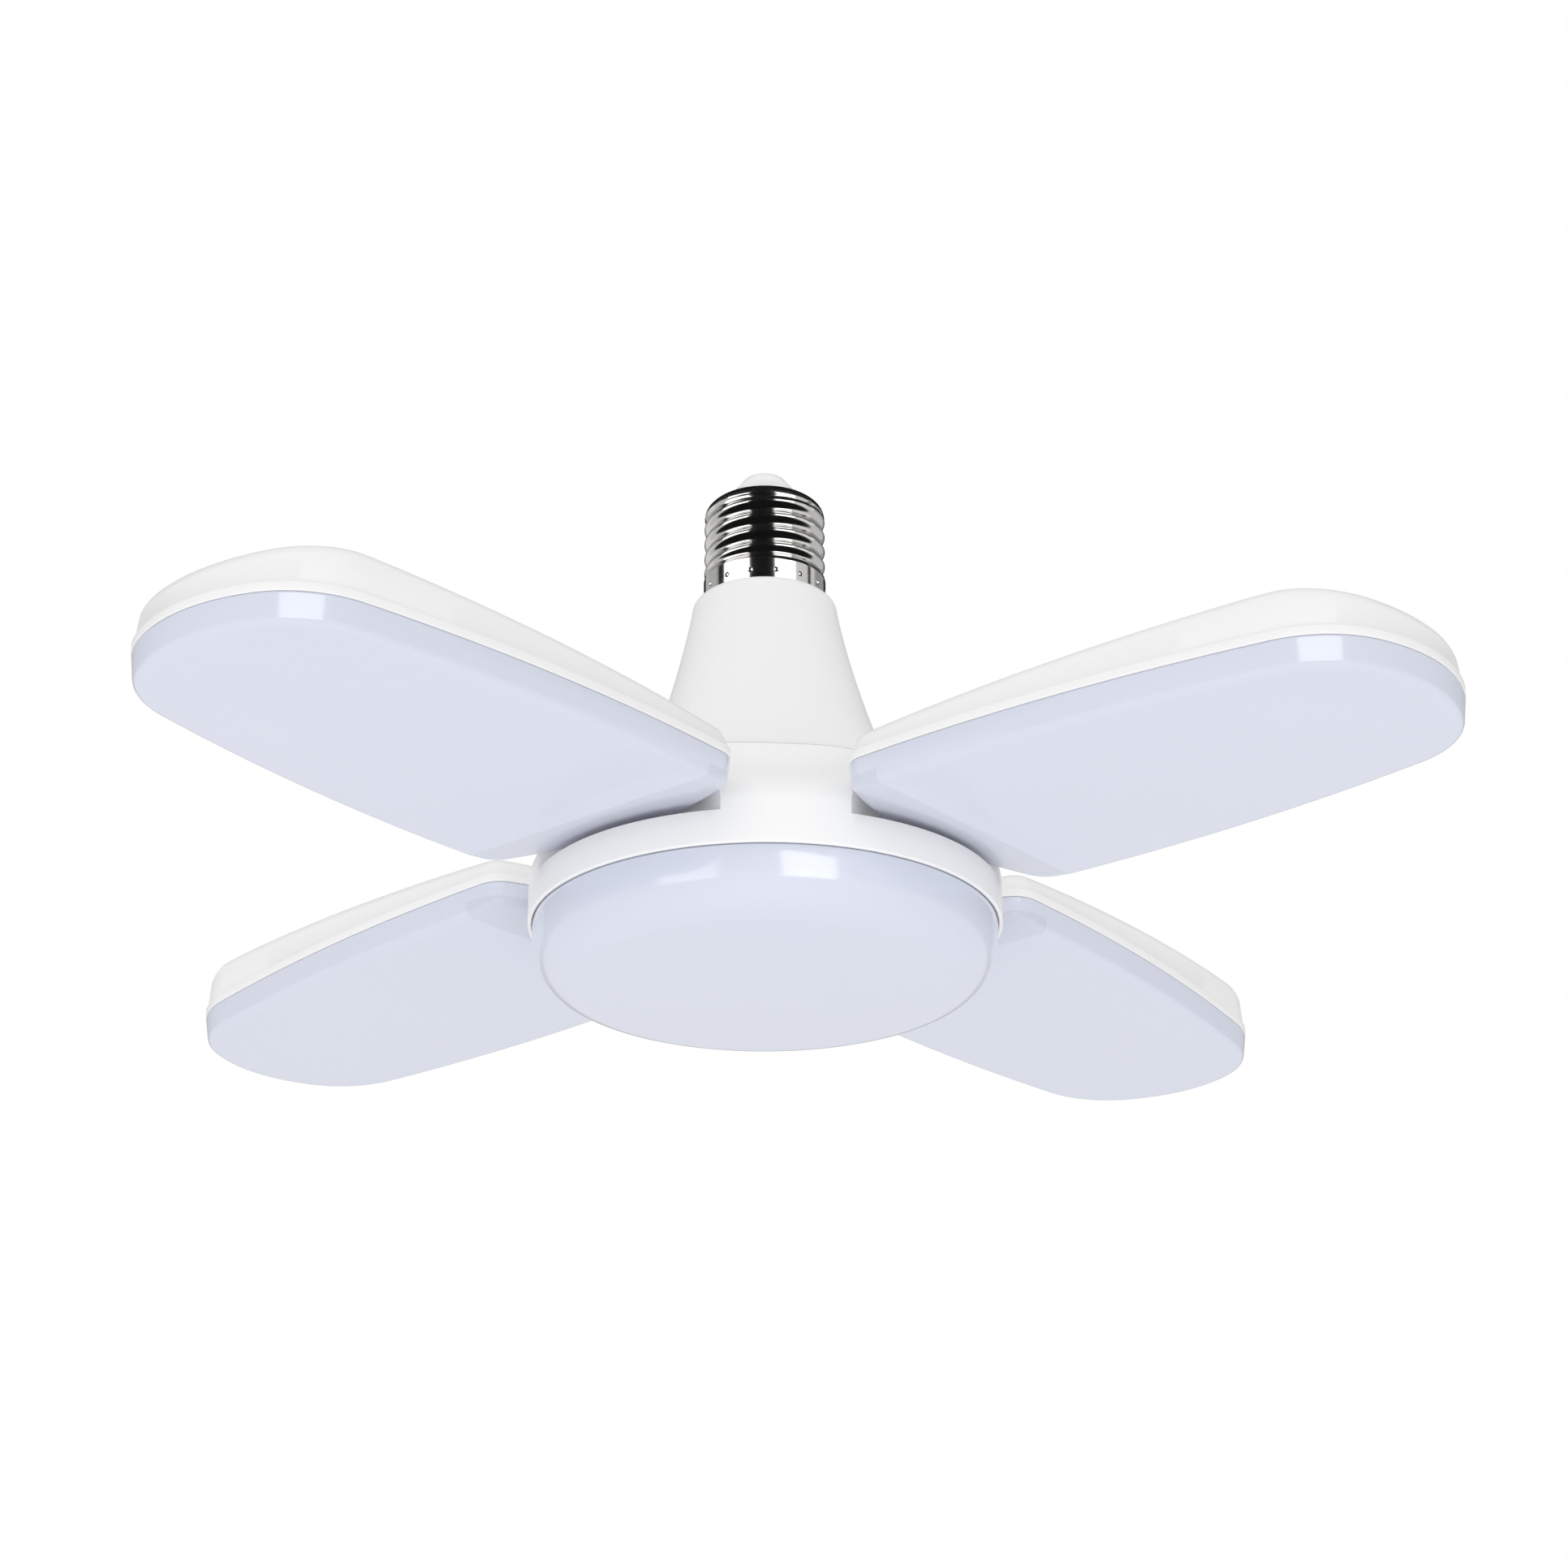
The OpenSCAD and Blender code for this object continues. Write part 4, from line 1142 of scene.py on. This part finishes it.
        return Bench.join([solid, *ears])

    def ear(self, side: int) -> list[bpy.types.Object]:
        """One hinge ear: a round end on a web that runs into the recess's wall.

        Args:
            side: 1 for the ear on the +w side, -1 for the other.

        Returns:
            The round end and the web.
        """
        near, far = sorted((side * self.ear_inner, side * (self.ear_inner + self.ear_thickness)))
        u, z = self.hinge_u, self.rim_z + self.hinge_height
        root = (self.recess_u - self.overlap, near, z - self.web_drop)
        return [
            Bench.rod(self.ear_radius, (u, near, z), (u, far, z), self.ear_sides, ROD_BEVEL),
            Bench.block(root, (u, far, z + self.ear_radius), BLOCK_BEVEL),
        ]

    def lens(self) -> bpy.types.Object:
        """The centre lens: upright side, rounded edge and a shallow domed face.

        Returns:
            The lens.
        """
        outside: Profile = [(self.lens_radius - inset, z) for inset, z in self.lens_rim]
        low = self.lens_side + self.lens_edge
        flat = self.lens_radius - self.lens_waist - self.lens_edge
        for i in range(self.lens_edge_steps + 1):
            a = -math.radians(self.lens_draft + (90 - self.lens_draft) * i / self.lens_edge_steps)
            reach, drop = self.lens_edge * math.cos(a), self.lens_edge * math.sin(a)
            outside.append((flat + reach, drop - self.lens_side))
        for i in range(1, self.lens_face_steps + 1):
            s = 1 - i / self.lens_face_steps
            outside.append((flat * s, -low - (self.lens_depth - low) * (1 - s * s)))
        inside = [(0.0, self.lens_wall - self.lens_depth), (flat, self.lens_wall - low),
                  (self.lens_radius - self.lens_wall - self.lens_shelf, -self.lens_side),
                  (self.lens_ring, 0.0), (self.lens_ring, self.seat_depth),
                  (self.lens_radius - self.lens_lip, self.seat_depth)]
        profile = [*outside, *inside, outside[0]]
        return Bench.lathe("centre_lens", [(r, z + self.rim_z) for r, z in profile], self.round_sides)


# ---- The screw cap ----


@dataclass
class Cap:
    """The plated screw shell, its insulator and the centre contact."""

    radius: float = 13.3
    wall: float = 0.4
    skirt_z: float = -31.572
    skirt: float = 5.0
    pitch: float = 3.63
    turns: float = 4.4
    depth: float = 1.2
    crest: float = 0.1
    fade: float = 8.0
    shoulder: float = 3.6
    shoulder_inset: float = 0.2
    skirt_steps: tuple[float, ...] = (0.0, 0.15, 1.2, 2.4, 3.6, 4.7)
    thread_rings: int = 110
    shoulder_rings: int = 16
    mouth: float = 6.5
    top_z: float = -7.0
    top_gap: float = 0.002
    foot: float = 1.8
    punches: int = 15
    first_punch: float = -63.3
    punch_height: float = 2.1
    punch_size: float = 0.8
    punch_reach: float = 0.5
    sides: int = 192

    def groove(self, height: float, turn: float) -> float:
        """Depth of the rolled thread at a height over the skirt and a share of a turn.

        Args:
            height: height over the skirt.
            turn: the share of a turn.

        Returns:
            The depth under the thread's crest.
        """
        f = height / (self.pitch * self.turns)
        fade = max(0.0, min(1.0, self.fade * f, self.fade * (1 - f)))
        wave = 0.5 + 0.5 * math.cos(math.tau * (f * self.turns - turn))
        return self.depth * fade * (1 - wave)

    def sheet_ring(self, z: float, inset: float) -> Ring:
        """A ring of the shell's sheet at z, over its skirt, thread and shoulder.

        Args:
            z: the ring's height.
            inset: how far inside the outer face.

        Returns:
            The ring.
        """
        height = z - self.skirt_z
        thread = self.pitch * self.turns
        ring = []
        for i in range(self.sides):
            turn = i / self.sides
            if height <= self.skirt:
                r = self.radius
            elif height < self.skirt + thread:
                r = self.radius - self.crest - self.groove(height - self.skirt, turn)
            else:
                rise = min(1.0, (height - self.skirt - thread) / self.shoulder)
                reach = self.radius - self.shoulder_inset - self.mouth
                r = self.mouth + reach * math.sqrt(max(0.0, 1 - rise * rise))
            ring.append(((r - inset) * math.cos(math.tau * turn), (r - inset) * math.sin(math.tau * turn), z))
        return ring

    def shell(self) -> bpy.types.Object:
        """The rolled shell, with the punch marks round its skirt.

        Returns:
            The shell.
        """
        thread, rows, caps = self.pitch * self.turns, self.thread_rings, self.shoulder_rings
        heights = list(self.skirt_steps)
        heights += [self.skirt + thread * i / rows for i in range(rows)]
        turns = [math.pi / 2 * i / caps for i in range(caps)]
        heights += [self.skirt + thread + self.shoulder * math.sin(a) for a in turns]
        outside = [self.sheet_ring(self.skirt_z + h, 0.0) for h in heights]
        top = self.sheet_ring(self.top_z - self.top_gap, 0.0)
        inside = [self.sheet_ring(self.skirt_z + h, self.wall) for h in heights[::3]]
        inner_top = [(x, y, self.top_z - self.wall) for x, y, _ in top]
        piece = Bench.skin("rolled_shell", [*outside, top, inner_top, *inside[::-1], outside[0]])
        marks = []
        for i in range(self.punches):
            a = math.tau * i / self.punches + math.radians(self.first_punch)
            reach = self.radius + self.punch_reach
            spot = (reach * math.cos(a), reach * math.sin(a), self.skirt_z + self.punch_height)
            Bench.clear()
            bpy.ops.mesh.primitive_ico_sphere_add(subdivisions=3, radius=self.punch_size, location=spot)
            bpy.ops.object.transform_apply(location=True, rotation=True, scale=True)
            marks.append(bpy.context.object)
        Bench.cut(piece, Bench.join(marks))
        return piece

    def insulator(self) -> bpy.types.Object:
        """The white insulator: a cone with a rounded top over its rolled-in foot.

        Returns:
            The insulator.
        """
        profile = [(0.0, 0.0), (8.0, 0.0), (8.0, 1.3), (6.35, 1.35), (6.4, 1.8), (6.5, 4.6),
                   (6.4, 4.95), (4.8, 7.0), (4.55, 7.3), (4.3, 7.5), (4.0, 7.64), (3.7, 7.73),
                   (3.5, 7.78), (2.9, 7.8), (0.0, 7.8)]
        return Bench.lathe("insulator_cone", [(r, z + self.top_z - self.foot) for r, z in profile])

    def contact(self) -> bpy.types.Object:
        """The centre contact: a low soldered button.

        Returns:
            The contact.
        """
        profile = [(0.0, -1.6), (2.6, -1.6), (2.6, -0.75), (2.5, -0.6),
                   (2.1, -0.25), (1.6, -0.07), (1.0, -0.015), (0.0, 0.0)]
        return Bench.lathe("contact_button", profile)


# ---- Light, floor and camera ----


class Glow(Enum):
    """What a lamp's light falls on."""

    ALL = "the whole object, as soft light"
    CAP = "gloss on the plated cap alone"
    LENS = "gloss on the centre lens alone"
    TIPS = "gloss on the leaves' diffusers alone"


class Softbox(Enum):
    """The lamps: bearing from the camera's side, height angle, distance, width, height, power and glow."""

    RIGHT = (21.0, 8.0, 1.15, 0.52, 0.85, 6.0, Glow.LENS)
    LEFT = (-36.0, 8.0, 1.15, 0.60, 0.85, 3.5, Glow.LENS)
    FRONT = (4.0, 8.0, 1.15, 0.79, 0.85, 7.4, Glow.TIPS)
    STRIP_LEFT = (-54.0, 18.0, 1.15, 1.15, 1.5, 10.0, Glow.CAP)
    STRIP_RIGHT = (40.0, 18.0, 1.15, 0.74, 1.5, 8.0, Glow.CAP)
    EDGE_LEFT = (-130.0, 18.0, 1.15, 1.1, 1.5, 1.1, Glow.CAP)
    EDGE_RIGHT = (84.0, 18.0, 1.15, 0.95, 1.5, 2.2, Glow.CAP)
    KEY = (-22.0, 40.0, 1.4, 1.0, 1.0, 1.8, Glow.ALL)
    BELOW = (0.0, -72.0, 1.2, 1.6, 1.6, 9.4, Glow.ALL)


class Card(Enum):
    """The dark cards: bearing, distance, width, lowest and highest point.

    A card whose lowest point is its highest lies level, overhead or just under the cap.
    """

    FRONT = (-4.0, 0.10, 0.082, -0.062, 0.17)
    LEFT = (-88.0, 0.30, 0.078, 0.03, 0.50)
    RIGHT = (92.0, 0.30, 0.040, 0.03, 0.50)
    OVERHEAD = (0.0, 0.0, 1.3, 0.50, 0.50)
    UNDER = (-4.0, 0.05, 0.16, -0.062, -0.062)
    BEHIND = (180.0, 0.30, 0.40, 0.03, 0.50)


@dataclass
class Studio:
    """The camera at the photograph's angle, the pale floor and the soft light."""

    rise: float = 23.166
    roll: float = -0.25
    turn: float = 39.68
    across: float = -3.9
    up: float = -30.51
    distance: float = 670.1
    focal: float = 3956.9
    frame_px: float = 1932.0
    sensor: float = 36.0
    rim_z: float = -107.172
    floor_z: float = -1.3
    floor_size: float = 60.0
    clip: tuple[float, float] = (0.01, 50.0)
    sky_light: float = 0.97
    sky_gloss: float = 0.42
    sky_seen: float = 1.0
    receivers: dict[Glow, bpy.types.Collection] = field(default_factory=dict)

    def camera(self) -> bpy.types.Object:
        """The camera that was fitted to the photograph.

        Returns:
            The camera.
        """
        e, roll = math.radians(self.rise), math.radians(self.roll)
        rows = Matrix(((1, 0, 0), (0, -math.sin(e), math.cos(e)), (0, math.cos(e), math.sin(e))))
        rolled = Matrix.Rotation(-roll, 3, "Z") @ rows
        spot = -(rolled.transposed() @ Vector((self.across, self.up, self.distance)))
        spin = Matrix.Rotation(math.radians(self.turn), 3, "Z")
        right, over, forward = (spin @ rolled[i] for i in range(3))
        spot = spin @ spot + Vector((0, 0, self.rim_z))
        Bench.clear()
        bpy.ops.object.camera_add()
        camera = bpy.context.object
        camera.data.sensor_width = self.sensor
        camera.data.lens = self.focal * self.sensor / self.frame_px
        camera.data.clip_start, camera.data.clip_end = self.clip
        facing = Matrix((right, over, -forward)).transposed().to_4x4()
        camera.matrix_world = Matrix.Translation(spot * MM) @ facing
        bpy.context.scene.camera = camera
        return camera

    def softbox(self, box: Softbox) -> None:
        """Adds one soft lamp, turned to the middle of the object.

        Args:
            box: the lamp's place, size and power.
        """
        bearing, height, distance, width, tall, power, glow = box.value
        a, e = math.radians(bearing), math.radians(height)
        spin = Matrix.Rotation(math.radians(self.turn), 3, "Z")
        way = spin @ Vector((math.sin(a) * math.cos(e), -math.cos(a) * math.cos(e), math.sin(e)))
        middle = Vector((0, 0, self.rim_z * MM))
        Bench.clear()
        bpy.ops.object.light_add(type="AREA", location=middle + way * distance)
        lamp = bpy.context.object
        lamp.name = f"softbox_{box.name.lower()}"
        lamp.rotation_euler = (-way).to_track_quat("-Z", "Y").to_euler()
        lamp.data.shape, lamp.data.energy = "RECTANGLE", power
        lamp.data.size, lamp.data.size_y = width, tall
        lamp.visible_diffuse, lamp.visible_glossy = glow is Glow.ALL, glow is not Glow.ALL
        if glow is not Glow.ALL:
            lamp.light_linking.receiver_collection = self.receivers[glow]

    def card(self, card: Card) -> None:
        """Hangs one dark card that only gloss sees, which gives the bright cap its dark bands.

        Args:
            card: the card's place and size.
        """
        bearing, distance, width, low, high = card.value
        half = (high - low) / 2
        Bench.clear()
        bpy.ops.mesh.primitive_plane_add(size=1)
        sheet = bpy.context.object
        sheet.name = f"dark_card_{card.name.lower()}"
        shape = Matrix.Scale(width, 4)
        if half:
            shape = Matrix.Diagonal((width, 1, 2 * half, 1)) @ Matrix.Rotation(math.pi / 2, 4, "X")
        stand = Matrix.Translation((0.0, -distance, low + half)) @ shape
        sheet.data.transform(Matrix.Rotation(math.radians(self.turn + bearing), 4, "Z") @ stand)
        sheet.data.materials.append(self.black())
        sheet.visible_camera = sheet.visible_diffuse = sheet.visible_shadow = False

    def black(self) -> bpy.types.Material:
        """The cards' black paper."""
        paper = Finish("card_black", (0.004, 0.004, 0.004), 0.9, mottle=0.1, grain=2.0)
        return bpy.data.materials.get(paper.name) or paper.build()

    def floor(self) -> None:
        """The pale floor under the hanging lamp."""
        Bench.clear()
        bpy.ops.mesh.primitive_plane_add(size=self.floor_size)
        floor = bpy.context.object
        floor.name = "floor"
        floor.data.transform(Matrix.Translation((0, 0, self.floor_z)))
        paper = Finish("floor_paper", (0.84, 0.84, 0.84), 0.8, mottle=0.005, grain=3.0)
        floor.data.materials.append(paper.build())

    def world(self) -> None:
        """White to the camera, pale to gloss, and a plain level of light on the object."""
        world = bpy.data.worlds.new("studio")
        world.use_nodes = True
        tree = world.node_tree
        tree.nodes.clear()
        path = tree.nodes.new("ShaderNodeLightPath")
        out = tree.nodes.new("ShaderNodeOutputWorld")
        levels = {"light": self.sky_light, "gloss": self.sky_gloss, "seen": self.sky_seen}
        skies = {}
        for name, level in levels.items():
            skies[name] = tree.nodes.new("ShaderNodeBackground")
            skies[name].inputs["Color"].default_value = (1, 1, 1, 1)
            skies[name].inputs["Strength"].default_value = level
        under = skies["light"].outputs[0]
        for test, name in (("Is Glossy Ray", "gloss"), ("Is Camera Ray", "seen")):
            mix = tree.nodes.new("ShaderNodeMixShader")
            tree.links.new(path.outputs[test], mix.inputs[0])
            tree.links.new(under, mix.inputs[1])
            tree.links.new(skies[name].outputs[0], mix.inputs[2])
            under = mix.outputs[0]
        tree.links.new(under, out.inputs["Surface"])
        bpy.context.scene.world = world
        bpy.context.scene.view_settings.view_transform = "Standard"

    def build(self) -> None:
        """Sets up the whole studio."""
        for glow in (Glow.CAP, Glow.LENS, Glow.TIPS):
            self.receivers[glow] = bpy.data.collections.new(f"lit_{glow.name.lower()}")
        self.camera()
        for box in Softbox:
            self.softbox(box)
        for card in Card:
            self.card(card)
        self.floor()
        self.world()


# ---- The lamp ----


@dataclass
class Lamp:
    """Builds every visible moulding, and hands each its body, node and finish."""

    leaf: Leaf = field(default_factory=Leaf)
    body: Body = field(default_factory=Body)
    cap: Cap = field(default_factory=Cap)
    wardrobe: Wardrobe = field(default_factory=Wardrobe)
    studio: Studio = field(default_factory=Studio)

    def finish(self, piece: bpy.types.Object, name: str, node: str, body: str, slot: str) -> None:
        """Puts a finished piece in metres and on its body.

        Args:
            piece: the modelled piece, in millimetres.
            name: its final name.
            node: the CAD node that it replaces.
            body: the body that it rides on.
            slot: the record's material slot.
        """
        piece.name = piece.data.name = name
        piece.data.transform(Matrix.Scale(MM, 4))
        self.wardrobe.dress(piece, slot)
        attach(piece, body)
        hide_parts(node)
        words = {Glow.CAP: ("rolled_shell", "contact_button"), Glow.TIPS: ("diffuser",), Glow.LENS: ("lens",)}
        for glow, parts in words.items():
            if any(word in name for word in parts):
                self.studio.receivers[glow].objects.link(piece)
        log.info("%s: %d faces, on %s", name, len(piece.data.polygons), body)

    def fixed(self) -> None:
        """The pieces that stay with the housing."""
        made = (
            (self.cap.shell, "rolled_shell", "screw_cap", "plated_shell", 40),
            (self.cap.insulator, "insulator_cone", "cap_insulator", "cap_insulation", 30),
            (self.cap.contact, "contact_button", "centre_contact", "contact_metal", 50),
            (self.body.neck, "neck_moulding", "neck_housing", "neck_plastic", 32),
            (self.body.housing, "housing_moulding", "lower_housing", "housing_plastic", 28),
            (self.body.lens, "centre_lens", "hub_lens", "milky_diffuser", 50),
        )
        for make, name, node, slot, angle in made:
            piece = make()
            Bench.smooth(piece, angle)
            self.finish(piece, name, node, "housing", slot)

    def leaves(self) -> None:
        """The four leaves, modelled once and copied."""
        shell, diffuser = self.leaf.shell(), self.leaf.diffuser()
        Bench.smooth(shell, 32)
        Bench.smooth(diffuser, 50)
        self.leaf.crease(diffuser)
        for master, name, node, slot in ((shell, "shell_moulding", "leaf_shell", "leaf_plastic"),
                                         (diffuser, "diffuser_tray", "leaf_diffuser", "milky_diffuser")):
            for k in range(1, LEAF_COUNT + 1):
                piece = Bench.copy(master, f"{name}_{k}")
                self.leaf.hang(piece, k)
                self.finish(piece, f"{name}_{k}", f"{node}_{k}", f"leaf_{k}", slot)
            bpy.data.objects.remove(master, do_unlink=True)

    def build(self) -> None:
        """Builds and dresses everything."""
        self.studio.build()
        self.wardrobe.dress_nodes()
        self.fixed()
        self.leaves()


def main() -> None:
    """Builds the studio and the lamp."""
    logging.basicConfig(level=logging.INFO, format="%(name)s %(message)s")
    Lamp().build()


if __name__ == "__main__":
    main()
